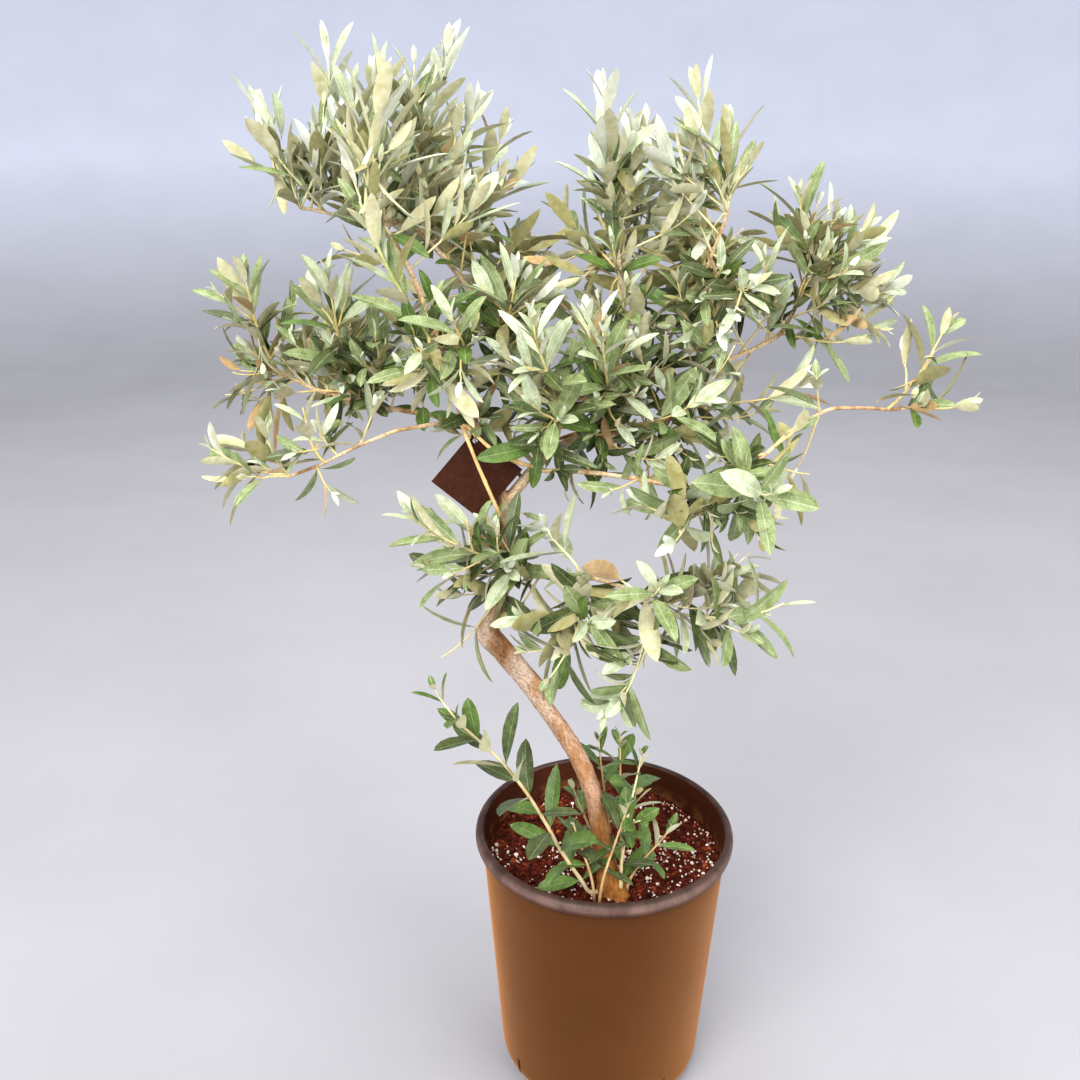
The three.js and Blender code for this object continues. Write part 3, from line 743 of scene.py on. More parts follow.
def join_tubes(name, tubes, material):
    """Several bark tubes of different lengths put into one mesh, with their crack depth as an attribute."""
    all_points, all_quads, all_fans, all_depths, offset = [], [], [], [], 0
    for rings, start, end, depth in tubes:
        points, quads, fans = closed_grid(rings[None], start[None], end[None], offset)
        all_points.append(points)
        all_quads.append(quads.reshape(-1, 4))
        all_fans.append(fans.reshape(-1, 3))
        all_depths.append(np.append(depth.ravel(), [0.5, 0.5]))
        offset += len(points)
    piece = make_piece(name, np.concatenate(all_points), np.concatenate(all_quads),
                       np.concatenate(all_fans), [material])
    crack = piece.data.attributes.new("crack", "FLOAT", "POINT")
    crack.data.foreach_set("value", np.concatenate(all_depths).astype(np.float32))
    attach(piece, "root")
    return piece


STUB_RADIUS = 0.0052
STUB_SIDES = 20


def pruned_stub():
    """The stump of the limb pruned off at the knee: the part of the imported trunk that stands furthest
    out from its middle, drawn again as a short blunt tube with a rim and a sunken end grain."""
    corners = node_triangles("trunk").reshape(-1, 3)
    line, radii = limb_lines["trunk"]
    gaps = np.linalg.norm(corners[:, None] - line[None], axis=2)
    nearest = gaps.argmin(1)
    proud = gaps.min(1) - radii[nearest]
    proud[corners[:, 2] < line[0, 2] + 0.05] = -1
    tip = corners[proud > proud.max() - 0.004].mean(0)
    root = line[nearest[proud.argmax()]]
    reach = tip - root
    at = np.array([0.0, 0.45, 0.75, 0.95, 1.04, 1.06, 1.0])
    size = np.array([1.30, 1.05, 0.95, 0.98, 0.92, 0.70, 0.45]) * STUB_RADIUS
    middle = root + at[:, None] * reach
    _, first, second = square_axes(middle[0] + np.arange(len(at))[:, None] * reach)
    turn = np.linspace(0, 2 * math.pi, STUB_SIDES, endpoint=False)[None, :]
    rough = 1 + 0.09 * waves(turn, at[:, None] * 0.02, 12, (2, 7), (20, 90), 77)
    rings = rings_round(middle, size[:, None] * rough, turn, first, second)
    return rings, middle[0], middle[-1], np.full((len(at), STUB_SIDES), 0.5)


trunk_piece = join_tubes("trunk_bark", [bark_tube("trunk", 0.0016, 56, 0.045, 40), pruned_stub()],
                         trunk_bark)
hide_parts("trunk")
bough_names = [n for n in LIMBS if n == "leader" or n.startswith("bough_")]
bough_piece = join_tubes("boughs_bark", [bark_tube(n, 0.0022, 22, 0.07, 60 + i)
                                         for i, n in enumerate(bough_names)], bough_bark)
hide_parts(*bough_names)

# ---------------------------------------------------------------------------
# Young stems: this year's long shoots and the basal sprouts, smooth and pale,
# greener than the boughs and thickened at each pair of leaves.


def stem_material(name, pale, mid):
    """Young rind: smooth, softly mottled along its length, with a slight gloss."""
    return mottled_material(name, 0.6, 0.35, (120.0, 3.0, (1, 1, 0.4)), [(0.36, mid), (0.62, pale)],
                            (900.0, 3.0), 0.2, 0.0006)


YOUNG_STEMS = {
    "front_shoots_bark": (
        ["branch_front_long", "branch_front_short"], tint(222, 192, 134), tint(198, 158, 96)),
    "green_shoot_rind": (
        ["shoot_young"], tint(176, 180, 112), tint(150, 154, 86)),
    "sprout_stems_rind": (
        ["sprout_stem_left", "sprout_stem_right"], tint(222, 204, 158), tint(194, 170, 118)),
}
for name, (limbs, pale, mid) in YOUNG_STEMS.items():
    tubes = [bark_tube(n, 0.0022, 16, 0.03, 90 + i) for i, n in enumerate(limbs)]
    stem_piece = join_tubes(name, tubes, stem_material(name, pale, mid))
    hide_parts(*limbs)

# ---------------------------------------------------------------------------
# Shoots and leaves: from each limb shoots grow out and fork, with narrow
# leathery leaves in crossed pairs, grey-green above and pale and felted below.

# A habit is how a kind of shoot grows: leaf length and width and the gap between pairs in metres,
# the leaf's lean from the stem at the shoot's foot and tip in degrees, how far it arches over in
# degrees, how far it lifts, how far the shoot's tip turns up, the metres in leaf on a leading and a
# side shoot, how many shoots fill a litre of foliage, the places on the scales of tops and of
# undersides that its leaves have at the foot and at the tip, the share of old tan leaves, and rind.
HABITS = {
    # Partly painted light: the plume habit's paler tops on the high sprays add the bright light falling
    # there to the young leaves' own pale.
    "plume": dict(leaf=(0.047, 0.0110), gap=0.0165, lean=(46, 16), arch=14, lift=0.16, rise=0.60,
                  leafy=(0.110, 0.085), full=56, tops=(3.3, 0.9), unders=(1.5, 0.2), tan=0.0, rind=0),
    "crown": dict(leaf=(0.047, 0.0120), gap=0.0165, lean=(54, 24), arch=20, lift=0.16, rise=0.55,
                  leafy=(0.110, 0.085), full=42, tops=(4.3, 1.2), unders=(1.9, 0.5), tan=0.10, rind=2),
    # Painted shade: the shade habit, for masses deep in and behind the crown, takes the darkest tops.
    "shade": dict(leaf=(0.047, 0.0118), gap=0.0180, lean=(62, 34), arch=28, lift=-0.06, rise=0.15,
                  leafy=(0.100, 0.080), full=32, tops=(4.4, 3.3), unders=(2.0, 0.9), tan=0.04, rind=2),
    "spread": dict(leaf=(0.047, 0.0124), gap=0.0160, lean=(56, 26), arch=24, lift=0.06, rise=0.40,
                   leafy=(0.105, 0.080), full=40, tops=(4.3, 1.7), unders=(1.8, 0.5), tan=0.14, rind=2),
    "rosette": dict(leaf=(0.051, 0.0152), gap=0.0100, lean=(76, 36), arch=20, lift=0.12, rise=0.55,
                    leafy=(0.055, 0.040), full=19, tops=(3.9, 1.9), unders=(1.6, 0.6), tan=0.03, rind=0),
    "sprout": dict(leaf=(0.041, 0.0142), gap=0.0200, lean=(66, 38), arch=24, lift=0.04, rise=0.35,
                   leafy=(0.080, 0.060), full=5, tops=(5.0, 4.9), unders=(1.8, 1.0), tan=0.0, rind=0),
}
# Tops, palest first: the paler and the deeper of the two tones in a leaf, and its fine flecks.
TOPS = {
    "cream": (tint(217, 221, 209), tint(203, 209, 192), tint(242, 245, 238)),
    "pale": (tint(205, 211, 194), tint(187, 195, 168), tint(232, 236, 226)),
    "mid": (tint(178, 187, 153), tint(148, 159, 117), tint(216, 221, 204)),
    "green": (tint(134, 148, 98), tint(101, 116, 63), tint(184, 192, 164)),
    "dark": (tint(77, 89, 46), tint(53, 63, 28), tint(128, 138, 108)),
    "fresh": (tint(86, 112, 46), tint(60, 83, 28), tint(128, 150, 90)),
}
# Undersides, palest first, as two tones each; the last is only for old leaves. Silver is the felt's own
# colour; khaki and olive are that felt with painted shade and a painted warm bounce from below, dealt mostly
# to leaves near a shoot's foot.
UNDERS = {
    "silver": (tint(206, 208, 190), tint(186, 188, 162)),
    "khaki": (tint(197, 194, 160), tint(175, 170, 124)),
    "olive": (tint(165, 159, 110), tint(140, 134, 78)),
    "tan": (tint(202, 172, 124), tint(178, 144, 94)),
}

# Which habit each mass of foliage has.
MASSES = {
    "plume": "top_far_left top_left top_left_front top_middle centre_peak mid_peak right_peak "
             "right_peak_outer",
    "crown": "top_middle_right top_back left hub centre_left centre centre_right centre_peak_left "
             "right_middle upper_right",
    "shade": "left_back centre_back right_back right_drop",
    "spread": "far_left left_arch left_arch_inner upper_right_outer far_right_upper far_right_lower "
              "low_left",
    "rosette": "low_right_inner low_right low_middle low_upper low_front low_outer low_foot",
    "sprout": "sprout_left sprout_right",
}

leaves = {key: [] for key in ("foot", "heading", "facing", "size", "arch", "twist", "finish", "group")}
shoots = {key: [] for key in ("path", "thick", "rind")}
PATH_POINTS = 9
# How far a leaf may reach out of the masses and out of the box of the whole part, in metres.
LEAF_STRAY = 0.018
OUT_OF_BOX = 0.014


def bend_path(start, end, leave, arrive):
    """A shoot's path: a cubic curve that leaves along one direction and arrives along another."""
    reach = np.linalg.norm(end - start) * 0.36
    corners = np.stack([start, start + leave * reach, end - arrive * reach, end])
    t = np.linspace(0, 1, PATH_POINTS)[:, None]
    weights = np.concatenate([(1 - t) ** 3, 3 * t * (1 - t) ** 2, 3 * t ** 2 * (1 - t), t ** 3], axis=1)
    return weights @ corners


def part_way(pair, share):
    """A value that share of the way from the first of a pair to the second."""
    return pair[0] + (pair[1] - pair[0]) * share


def add_leaves(path, habit_name, group, dice, leafy, size=1.0, held=True):
    """Crossed pairs of leaves over the last stretch of a path, leafy metres long: each pair is a gap
    further on, the gaps closing up towards the tip, and a quarter turn round. The leaves lean out less,
    are paler and at last smaller towards the tip. Where they are held in, a leaf that would reach well
    out of the crown's masses is shortened, or left out if it is far out. Returns how many there are."""
    habit = HABITS[habit_name]
    low, high = np.array(cad_box[0]) - OUT_OF_BOX, np.array(cad_box[1]) + OUT_OF_BOX
    length = run_along(path)
    total = length[-1]
    leafy = min(leafy, total * 0.92)
    count = max(2, int(round(leafy * 1.12 / (habit["gap"] * size))))
    along, first, second = square_axes(path)
    quarter = dice.uniform(0, math.pi)
    spray_tone = dice.normal(0, 0.45)
    last_under = len(UNDERS) - 2
    before = len(leaves["foot"])
    for k in range(count + 1):
        age = k / count
        at = total - leafy * (1 - age) ** 1.25
        point = read_at(at, length, path)
        t, a, b = (unit(read_at(at, length, axis)) for axis in (along, first, second))
        quarter += math.pi / 2 + dice.normal(0, 0.2)
        lean = math.radians(part_way(habit["lean"], age))
        grown = size * (0.82 + 0.26 * math.sin(math.pi * min(1.0, age * 1.25)))
        if k >= count - 1:
            lean *= 0.62
            grown *= 0.68 if k == count - 1 else 0.36
        for side in (1, -1):
            if age < 0.4 and dice.uniform() < 0.15:
                continue
            tilt = lean + dice.normal(0, 0.17)
            turn = quarter + dice.normal(0, 0.15)
            out = side * (math.cos(turn) * a + math.sin(turn) * b)
            heading = unit(math.cos(tilt) * t + math.sin(tilt) * out + np.array([0, 0, habit["lift"]]))
            facing = math.sin(tilt) * t - math.cos(tilt) * out + np.array([0, 0, 0.25])
            facing = unit(facing - (facing @ heading) * heading)
            long = habit["leaf"][0] * grown * min(dice.normal(1, 0.12), 1.18)
            wide = habit["leaf"][1] * (0.15 + 0.85 * grown) * dice.normal(1, 0.17)
            tip = point + heading * long
            if (tip < low).any() or (tip > high).any() or in_gap(point + heading * long * 0.6):
                continue
            near, normal, _, gap = crown.find_nearest(Vector(tip))
            if held and (Vector(tip) - near).dot(normal) > 0 and gap > LEAF_STRAY:
                if gap > 2.6 * LEAF_STRAY:
                    continue
                long = max(0.75 * long, long - (gap - LEAF_STRAY))
            leaves["foot"].append(point)
            leaves["heading"].append(heading)
            leaves["facing"].append(facing)
            leaves["size"].append((long, wide))
            leaves["arch"].append(math.radians(habit["arch"]) * dice.uniform(0.3, 1.5))
            leaves["twist"].append(dice.normal(0, 0.28))
            top = round(part_way(habit["tops"], age ** 0.8) + spray_tone + dice.normal(0, 0.3))
            under = round(part_way(habit["unders"], age) + 0.6 * spray_tone + dice.normal(0, 0.35))
            old = dice.uniform() < habit["tan"] and age < 0.75
            under = last_under + 1 if old else min(max(under, 0), last_under)
            leaves["finish"].append((min(max(top, 0), len(TOPS) - 1), under))
            leaves["group"].append(group)
    return len(leaves["foot"]) - before


def add_shoot(path, foot_thick, tip_thick, rind):
    """A bare shoot along a path, tapering from its foot to its tip, with one of the twigs' rinds."""
    shoots["path"].append(path)
    shoots["thick"].append(np.linspace(foot_thick, tip_thick, PATH_POINTS) / 2)
    shoots["rind"].append(rind)


all_limb_points = np.concatenate([line for line, _ in limb_lines.values()])
all_limb_ways = np.concatenate([unit(np.gradient(line, axis=0)) for line, _ in limb_lines.values()])

# Gaps that run from front to back through the crown and stay free of leaves, bare shoots apart: the
# middle of each at the front and at the back, and its half width. The last two end inside the crown.
GAPS = [
    ((0.000, -0.15, 0.620), (0.030, 0.18, 0.500), 0.026),
    ((0.085, -0.15, 0.760), (0.155, 0.18, 0.700), 0.025),
    ((0.170, -0.15, 0.750), (0.275, 0.18, 0.685), 0.022),
    ((-0.060, -0.15, 0.655), (-0.060, 0.18, 0.550), 0.018),
    ((-0.250, -0.15, 0.655), (-0.330, 0.18, 0.550), 0.018),
    ((0.065, -0.15, 0.850), (0.120, 0.18, 0.830), 0.022),
    ((-0.040, -0.15, 0.900), (-0.030, 0.18, 0.900), 0.018),
    ((0.180, -0.15, 0.825), (0.290, 0.18, 0.795), 0.018),
    ((-0.285, -0.15, 0.740), (-0.385, 0.18, 0.670), 0.016),
    ((-0.125, -0.15, 0.530), (-0.150, 0.18, 0.365), 0.018),
    ((-0.220, -0.15, 0.830), (-0.290, 0.18, 0.805), 0.020),
    ((-0.175, -0.15, 0.690), (-0.225, 0.18, 0.595), 0.022),
    ((0.050, -0.15, 0.605), (0.095, 0.18, 0.480), 0.014),
    ((0.020, -0.15, 0.500), (0.060, 0.18, 0.320), 0.020),
    ((0.135, -0.15, 0.685), (0.225, 0.18, 0.590), 0.020),
    ((0.085, -0.15, 0.615), (0.150, 0.18, 0.490), 0.016),
    ((0.120, -0.15, 0.585), (0.200, 0.18, 0.445), 0.014),
    ((-0.215, -0.15, 0.920), (-0.280, 0.18, 0.930), 0.018),
    ((-0.230, -0.15, 0.735), (-0.305, 0.18, 0.665), 0.014),
    ((-0.065, -0.15, 0.520), (-0.070, 0.18, 0.355), 0.014),
    ((-0.145, -0.15, 0.520), (-0.160, 0.00, 0.455), 0.012),
    ((-0.110, -0.18, 0.680), (-0.120, -0.04, 0.635), 0.034),
]


def in_gap(place):
    """Whether a place is nearer to the middle line of one of the gaps than its half width."""
    for front, back, half in GAPS:
        front, back = np.array(front), np.array(back)
        share = min(max((place - front) @ (back - front) / ((back - front) @ (back - front)), 0), 1)
        if np.linalg.norm(place - front - share * (back - front)) < half:
            return True
    return False


def solid_tree(corners):
    """A search tree over loose triangles, given as their corners."""
    return BVHTree.FromPolygons([tuple(c) for c in corners.reshape(-1, 3)],
                                [tuple(f) for f in np.arange(corners.size // 3).reshape(-1, 3)])


mass_corners = {n: node_triangles(n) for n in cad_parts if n.startswith("foliage_")}
crown = solid_tree(np.concatenate(list(mass_corners.values())))


def places_inside(corners, count, depth, dice):
    """Places spread evenly through a closed solid, at least depth below its skin: of many random ones,
    each next place is the one furthest from all those already taken."""
    solid = solid_tree(corners)
    low, high = corners.reshape(-1, 3).min(0), corners.reshape(-1, 3).max(0)
    inside = []
    for place in dice.uniform(low, high, (40 + 45 * count, 3)):
        near, normal, _, gap = solid.find_nearest(Vector(place))
        if (Vector(place) - near).dot(normal) < 0 and gap > depth:
            inside.append(place)
    inside = np.array(inside).reshape(-1, 3)
    taken = []
    apart = np.full(len(inside), np.inf)
    while len(taken) < min(count, len(inside)):
        taken.append(inside[apart.argmax()] if taken else inside[0])
        apart = np.minimum(apart, np.linalg.norm(inside - taken[-1], axis=1))
    return taken


# Shoots that would be shorter than this, in metres, are avoided.
SHOOT_APART = 0.030


def fill_mass(name, habit_name, group, dice):
    """Shoots that fill a mass: a leading one from the limb to near the mass's tip, and others, as many
    as its volume asks for, that end at places spread through it. Each grows from whichever point of
    the shoots already there lets it go on most nearly straight."""
    habit = HABITS[habit_name]
    triangles = mass_corners[name]
    corners = triangles.reshape(-1, 3)
    middle = corners.mean(0)
    volume = np.einsum("ij,ij->i", triangles[:, 0], np.cross(triangles[:, 1], triangles[:, 2])).sum() / 6
    gaps = np.linalg.norm(corners[:, None] - all_limb_points[None], axis=2)
    at = np.unravel_index(gaps.argmin(), gaps.shape)[1]
    foot, limb_way = all_limb_points[at], all_limb_ways[at]
    tip = corners[np.argmax(np.linalg.norm(corners - foot, axis=1))]
    way = unit(tip - foot)
    up = np.array([0, 0, 1.0])
    leaf_long = habit["leaf"][0]
    lead_end = tip - way * leaf_long * 0.35
    lead = bend_path(foot, lead_end, unit(way + 0.5 * limb_way), unit(way + habit["rise"] * up))
    add_shoot(lead, 0.0028, 0.0013, habit["rind"])
    add_leaves(lead, habit_name, group, dice, habit["leafy"][0])
    bases, base_ways = lead[:-2], unit(np.gradient(lead, axis=0))[:-2]
    ends = places_inside(triangles, max(2, round(volume * 1000 * habit["full"])), leaf_long * 0.12, dice)
    for end in sorted(ends, key=lambda place: np.linalg.norm(place - foot)):
        if np.linalg.norm(lead[-3:] - end, axis=1).min() < SHOOT_APART * 0.6:
            continue
        reach = np.linalg.norm(end - bases, axis=1)
        straight = ((end - bases) * base_ways).sum(1) / np.maximum(reach, 1e-6)
        cost = reach * (1.7 - straight) + np.where(reach < SHOOT_APART, 1.0, 0.0)
        at = cost.argmin()
        ahead = unit(end - bases[at])
        leave = unit(ahead + 0.5 * base_ways[at])
        arrive = unit(ahead + 0.5 * unit(end - middle) + habit["rise"] * up)
        path = bend_path(bases[at], end, leave, arrive)
        path[2:-1] += dice.normal(0, 1, (PATH_POINTS - 3, 3)) * reach[at] * 0.009
        if add_leaves(path, habit_name, group, dice, habit["leafy"][1]) < 3:
            continue
        add_shoot(path, 0.0022, 0.0011, habit["rind"])
        bases = np.concatenate([bases, path[2:-3]])
        base_ways = np.concatenate([base_ways, unit(np.gradient(path, axis=0))[2:-3]])


LEAF_GROUPS = ["leaves_top", "leaves_middle", "leaves_right", "leaves_low"]


def group_for(name):
    """Which joined piece a mass's leaves go into, by where the mass is."""
    if name.startswith(("foliage_low", "foliage_sprout")):
        return 3
    if name.startswith("foliage_top"):
        return 0
    return 2 if "right" in name or "peak" in name else 1


GROUP_OF = {}
for k, (habit_name, mass_names) in enumerate(MASSES.items()):
    for j, mass_name in enumerate(mass_names.split()):
        node_name = "foliage_" + mass_name
        GROUP_OF[node_name] = group_for(node_name)
        if mass_name != "sprout_left":
            fill_mass(node_name, habit_name, GROUP_OF[node_name], np.random.default_rng(500 + 40 * k + j))

# Leaf pairs straight on the young stems, the left sprout having no others: stem, habit, metres of it
# in leaf, piece and leaf size.
LEAFY_STEMS = [
    ("shoot_young", "crown", 0.22, 1, 1.0),
    ("sprout_stem_left", "sprout", 0.23, 3, 1.22),
    ("sprout_stem_right", "sprout", 0.06, 3, 0.9),
]
for k, (name, habit_name, leafy, group, size) in enumerate(LEAFY_STEMS):
    line = limb_lines[name][0]
    path = line[np.linspace(0, len(line) - 1, PATH_POINTS).round().astype(int)]
    add_leaves(path, habit_name, group, np.random.default_rng(700 + k), leafy, size, False)

# Short spurs on otherwise bare limbs: limb, share along it from and to, how many, mean direction,
# length in metres, habit and the joined piece their leaves go into.
SPURS = [
    ("leader", 0.55, 1.00, 5, (0.0, -0.8, 0.1), 0.045, "shade", 1),
    ("bough_right", 0.35, 0.98, 11, (0.2, -0.6, -0.5), 0.042, "shade", 1),
    ("bough_right", 0.70, 1.00, 4, (0.9, -0.3, 0.2), 0.075, "crown", 2),
    ("bough_right", 0.60, 0.95, 5, (-0.1, -0.2, 1.2), 0.095, "crown", 2),
    ("bough_far_right", 0.08, 0.34, 2, (0.2, -0.5, -0.7), 0.030, "shade", 1),
    ("bough_far_right", 0.50, 0.62, 3, (0.1, -0.3, -0.8), 0.046, "shade", 2),
    ("bough_far_right", 0.66, 0.94, 3, (0.2, 0.0, 0.7), 0.030, "spread", 2),
    ("bough_far_right", 0.60, 0.80, 2, (0.1, -0.2, -0.9), 0.036, "spread", 2),
    ("bough_right_peak", 0.02, 0.45, 8, (0.1, -0.7, 0.0), 0.055, "crown", 2),
    ("bough_right_peak", 0.80, 1.00, 3, (-1.3, 0.2, 1.9), 0.075, "plume", 2),
    ("bough_upper_right", 0.10, 0.95, 9, (0.5, -0.3, 0.3), 0.050, "spread", 2),
    ("bough_upper_right", 0.55, 0.90, 3, (-0.2, -0.1, 1.0), 0.060, "crown", 2),
    ("bough_upper_right", 0.85, 1.00, 3, (0.9, -0.2, 0.5), 0.062, "crown", 2),
    ("bough_upper_right", 0.90, 1.00, 6, (1.1, -0.2, -0.7), 0.060, "spread", 2),
    ("bough_upper_left", 0.28, 0.95, 9, (0.0, -0.3, 0.3), 0.045, "shade", 1),
    ("bough_upper_left", 0.88, 1.00, 3, (1.5, 0.2, 1.2), 0.085, "plume", 0),
    ("bough_upper_left", 0.95, 1.00, 2, (0.6, 0.0, 1.7), 0.085, "plume", 0),
    ("bough_mid_left", 0.25, 0.95, 7, (-0.2, -0.2, 0.2), 0.040, "shade", 1),
    ("bough_mid_left", 0.90, 1.00, 3, (-0.2, 0.0, 1.7), 0.085, "plume", 0),
    ("bough_left", 0.25, 0.80, 4, (-0.1, -0.1, 0.2), 0.036, "shade", 1),
    ("bough_left", 0.80, 1.00, 4, (-0.9, -0.1, -0.2), 0.045, "spread", 1),
    ("bough_left", 0.90, 1.00, 4, (-1.3, -0.1, 0.2), 0.046, "spread", 1),
    ("bough_left_arch", 0.60, 1.00, 4, (-0.3, -0.2, 0.2), 0.030, "spread", 1),
    ("bough_top_left", 0.15, 0.90, 5, (-0.1, -0.1, 0.6), 0.050, "plume", 0),
    ("bough_top_left", 0.90, 1.00, 3, (0.8, 0.0, 1.7), 0.075, "plume", 0),
    ("bough_centre_peak", 0.05, 0.80, 8, (0.3, -0.4, 0.3), 0.050, "shade", 2),
    ("bough_centre_peak", 0.60, 1.00, 6, (-0.3, -0.5, 0.3), 0.050, "crown", 2),
    ("bough_centre_peak", 0.30, 0.75, 6, (1.6, -0.3, 0.2), 0.095, "crown", 2),
    ("bough_centre_peak", 0.90, 1.00, 3, (0.4, 0.0, 1.5), 0.080, "plume", 2),
    ("trunk", 0.88, 0.97, 2, (0.7, -0.4, 0.1), 0.024, "shade", 3),
    ("bough_low", 0.05, 0.30, 4, (-1.2, -0.3, 0.1), 0.080, "spread", 3),
    ("bough_low", 0.30, 0.80, 3, (0.0, -0.2, -0.8), 0.030, "shade", 3),
    ("bough_low", 0.85, 1.00, 2, (-0.6, -0.2, -1.8), 0.080, "rosette", 3),
    ("bough_low", 0.90, 1.00, 3, (1.8, -0.2, 0.25), 0.080, "rosette", 3),
    ("sprout_stem_left", 1.00, 1.00, 1, (-2.4, -0.7, 3.2), 0.046, "sprout", 3),
    ("bough_far_right", 0.34, 0.64, 6, (0.1, -0.7, 0.3), 0.038, "shade", 2),
    ("bough_upper_right", 0.25, 0.70, 5, (-0.3, -0.5, 0.6), 0.042, "crown", 2),
    ("bough_right_peak", 0.30, 0.80, 4, (0.5, -0.5, 0.3), 0.048, "crown", 2),
    ("bough_top_left", 0.45, 0.85, 4, (-0.4, -0.2, 1.2), 0.062, "plume", 0),
    ("bough_mid_left", 0.70, 1.00, 3, (1.3, 0.1, 1.0), 0.070, "plume", 0),
    ("bough_centre_peak", 0.80, 1.00, 3, (1.0, 0.0, 0.8), 0.060, "plume", 2),
    ("bough_low", 0.02, 0.20, 3, (-0.9, -0.6, 1.6), 0.058, "spread", 3),
    ("bough_left", 0.55, 0.85, 3, (-0.6, -0.2, 1.1), 0.050, "spread", 1),
]
for k, (limb, first_share, last_share, count, mean, long, habit_name, group) in enumerate(SPURS):
    dice = np.random.default_rng(800 + k)
    line = limb_lines[limb][0]
    for share in np.linspace(first_share, last_share, count):
        at = int(share * (len(line) - 1))
        way = unit(np.array(mean) + dice.normal(0, 0.42, 3))
        end = line[at] + way * long * dice.uniform(0.7, 1.3)
        path = bend_path(line[at], end, way, unit(way + np.array([0, 0, HABITS[habit_name]["rise"]])))
        if add_leaves(path, habit_name, group, dice, long * 0.9, 0.95, False) >= 3:
            add_shoot(path, 0.0020, 0.0011, HABITS[habit_name]["rind"])

# Shoots from the trunk's foot, besides the two stems above: where each comes up out of the mix, its
# tip from there, and how much of it is in leaf.
FOOT_SHOOTS = [
    ((-0.012, -0.074), (-0.020, -0.012, 0.094), 0.050),
    ((-0.008, -0.080), (0.024, 0.006, 0.108), 0.070),
    ((0.006, -0.044), (-0.014, 0.022, 0.140), 0.060),
    ((0.014, -0.046), (-0.002, 0.030, 0.142), 0.080),
    ((0.018, -0.062), (0.038, -0.006, 0.080), 0.060),
    ((0.000, -0.046), (-0.030, 0.030, 0.085), 0.060),
]
for k, ((x, y), rise, leafy) in enumerate(FOOT_SHOOTS):
    dice = np.random.default_rng(900 + k)
    start = np.array([x, y, SOIL_TOP])
    path = bend_path(start, start + np.array(rise), np.array([0, 0, 1.0]), unit(np.array(rise)))
    add_shoot(path, 0.0034, 0.0014, 1)
    add_leaves(path, "sprout", 3, dice, leafy, 0.9, False)

# A leaf's stations as shares of its length, with its half width there as a share of the widest and
# the depth of its keel in metres; how far its halves fold up, in radians; and half its rib's width.
STATIONS = np.array([0.0, 0.07, 0.19, 0.37, 0.57, 0.76, 0.91])
OUTLINE = np.array([0.09, 0.11, 0.58, 0.92, 1.0, 0.84, 0.46])
KEEL = np.array([0.0006, 0.0006, 0.0007, 0.0006, 0.0005, 0.0004, 0.0003])
FOLD = 0.26
RIB_HALF = 0.00026


def leaf_rings(foot, heading, facing, size, arch, twist):
    """Leaves as closed thin blades. The midrib bends over as an arc of the given arch; at each station
    a ring holds the right margin, the two sides of the rib, the left margin and the keel below. The
    half width follows the outline, the halves fold up a little, and the blade twists along its length."""
    long, wide = size[:, :1, None], size[:, 1:, None]
    t = STATIONS[None, :, None]
    bend = arch[:, None, None]
    heading, facing = heading[:, None], facing[:, None]

    def spine(share):
        angle = bend * share
        run = long * np.sin(angle) / bend
        drop = long * (1 - np.cos(angle)) / bend
        return foot[:, None] + heading * run - facing * drop

    middle = spine(t)
    up = facing * np.cos(bend * t) + heading * np.sin(bend * t)
    side = np.cross(facing, heading) + 0 * up
    roll = -twist[:, None, None] * t
    side, up = side * np.cos(roll) + up * np.sin(roll), up * np.cos(roll) - side * np.sin(roll)
    half = wide / 2 * OUTLINE[None, :, None]
    margin_out, margin_up = half * math.cos(FOLD), half * math.sin(FOLD)
    rib = np.minimum(RIB_HALF, half * 0.4)
    ring = np.stack([
        middle + side * margin_out + up * margin_up,
        middle + side * rib,
        middle - side * rib,
        middle - side * margin_out + up * margin_up,
        middle - up * KEEL[None, :, None],
    ], axis=2)
    return ring, foot, spine(np.ones((1, 1, 1)))[:, 0]


def leaf_top(name, pale, deep, flecks):
    """Upper side: leathery, softly mottled, flecked with fine pale scales and beads of water."""
    material, tree, shader = new_material("leaf_top_" + name, 0.45, 0.32)
    tone = ramp(tree, noise(tree, 130.0, 3.0), [(0.34, deep), (0.64, pale)])
    dots = tree.nodes.new("ShaderNodeTexVoronoi")
    dots.inputs["Scale"].default_value = 620.0
    place = tree.nodes.new("ShaderNodeTexCoord")
    tree.links.new(place.outputs["Object"], dots.inputs["Vector"])
    mask = ramp(tree, dots.outputs["Distance"], [(0.16, tint(190, 190, 190)), (0.34, tint(0, 0, 0))])
    tone = blend_colours(tree, mask, tone, flecks)
    tree.links.new(tone, shader.inputs["Base Color"])
    bump(tree, shader, dots.outputs["Distance"], 0.12, 0.0006)
    return material


def leaf_under(name, pale, deep):
    """Underside: matt felt of silvery scales."""
    material, tree, shader = new_material("leaf_under_" + name, 0.8, 0.2)
    shader.inputs["Sheen Weight"].default_value = 0.15
    tone = ramp(tree, noise(tree, 150.0, 3.0), [(0.34, deep), (0.64, pale)])
    tree.links.new(tone, shader.inputs["Base Color"])
    return material


leaf_materials = [leaf_top(n, *TOPS[n]) for n in TOPS]
leaf_materials += [leaf_under(n, *UNDERS[n]) for n in UNDERS]
# A rib has the finish of the next paler top.
RIB_FINISH = np.array([0, 0, 1, 2, 3, 3])

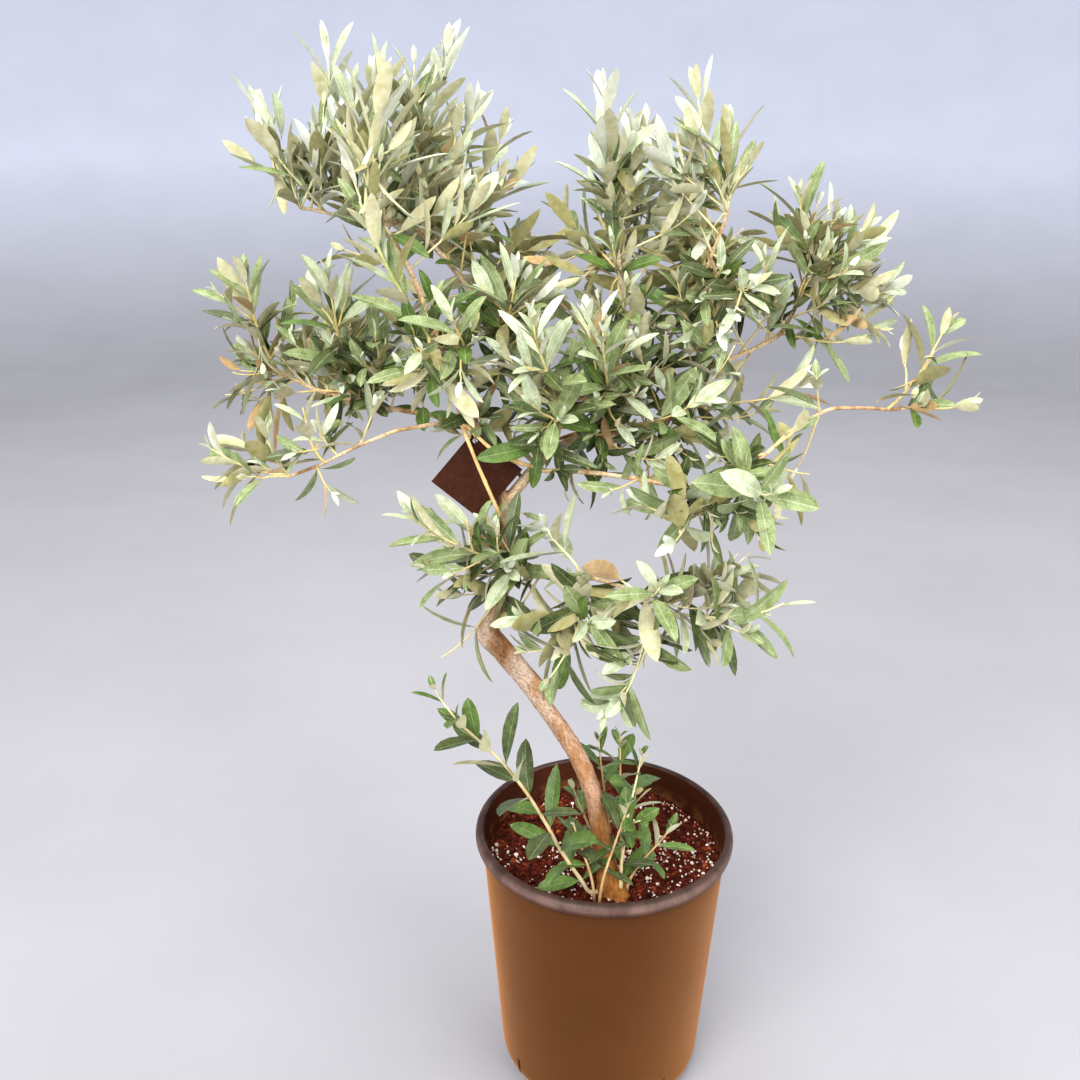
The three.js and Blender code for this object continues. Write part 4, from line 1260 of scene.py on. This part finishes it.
leaf_data = {key: np.array(value) for key, value in leaves.items()}
for group, piece_name in enumerate(LEAF_GROUPS):
    chosen = leaf_data["group"] == group
    picked = [leaf_data[key][chosen] for key in ("foot", "heading", "facing", "size", "arch", "twist")]
    points, quads, fans = closed_grid(*leaf_rings(*picked))
    quads[:, :, [2, 4]] = np.roll(quads[:, :, [2, 4]], -1, axis=-1)
    top = leaf_data["finish"][chosen][:, 0]
    under = leaf_data["finish"][chosen][:, 1] + len(TOPS)
    by_column = np.stack([top, RIB_FINISH[top], top, under, under], axis=1)
    quad_finish = np.broadcast_to(by_column[:, None, :], quads.shape[:3])
    fan_finish = np.broadcast_to(by_column[:, None, :], fans.shape[:3])
    leaf_piece = make_piece(piece_name, points, quads, fans, leaf_materials, quad_finish, fan_finish, 62)
    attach(leaf_piece, "root")
    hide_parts(*[n for n, g in GROUP_OF.items() if g == group])

paths = np.array(shoots["path"])
thick = np.array(shoots["thick"])
ways, first, second = square_axes(paths)
TWIG_SIDES = 6
turn = np.linspace(0, 2 * math.pi, TWIG_SIDES, endpoint=False)[None, None, :]
rings = rings_round(paths, thick[..., None], turn, first, second)
points, quads, fans = closed_grid(rings, paths[:, 0], paths[:, -1] + ways[:, -1] * 0.001)
twig_materials = [stem_material("young_twig_rind", tint(226, 220, 174), tint(206, 194, 140)),
                  stem_material("older_twig_bark", tint(208, 178, 128), tint(178, 142, 94)),
                  stem_material("golden_twig_rind", tint(220, 202, 140), tint(198, 174, 106))]
rinds = np.array(shoots["rind"])[:, None, None]
twigs = make_piece("twigs", points, quads, fans, twig_materials,
                   np.broadcast_to(rinds, quads.shape[:3]), np.broadcast_to(rinds, fans.shape[:3]))
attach(twigs, "root")

# ---------------------------------------------------------------------------
# Tag and tie: a bare brown card hung by one corner from the leader on a loop
# of twisted string, with a few pale scuffs on the card.

card_material, tree, shader = new_material("plain_card_brown", 0.6, 0.08)
fibre = ramp(tree, noise(tree, 240.0, 4.0), [(0.32, tint(48, 22, 12)), (0.66, tint(60, 30, 18))])
scuff = ramp(tree, noise(tree, 60.0, 5.0), [(0.62, tint(0, 0, 0)), (0.78, tint(70, 70, 70))])
tree.links.new(blend_colours(tree, scuff, fibre, tint(140, 104, 84)), shader.inputs["Base Color"])
bump(tree, shader, noise(tree, 900.0, 3.0), 0.15, 0.0004)
refinish("hang_tag", card_material)

string_material = mottled_material("twisted_string", 0.85, 0.2, (900.0, 3.0, (1, 1, 0.3)), [
    (0.35, tint(150, 130, 96)), (0.65, tint(214, 202, 170)),
], (1500.0, 2.0), 0.5, 0.0006)
refinish("tag_tie", string_material)
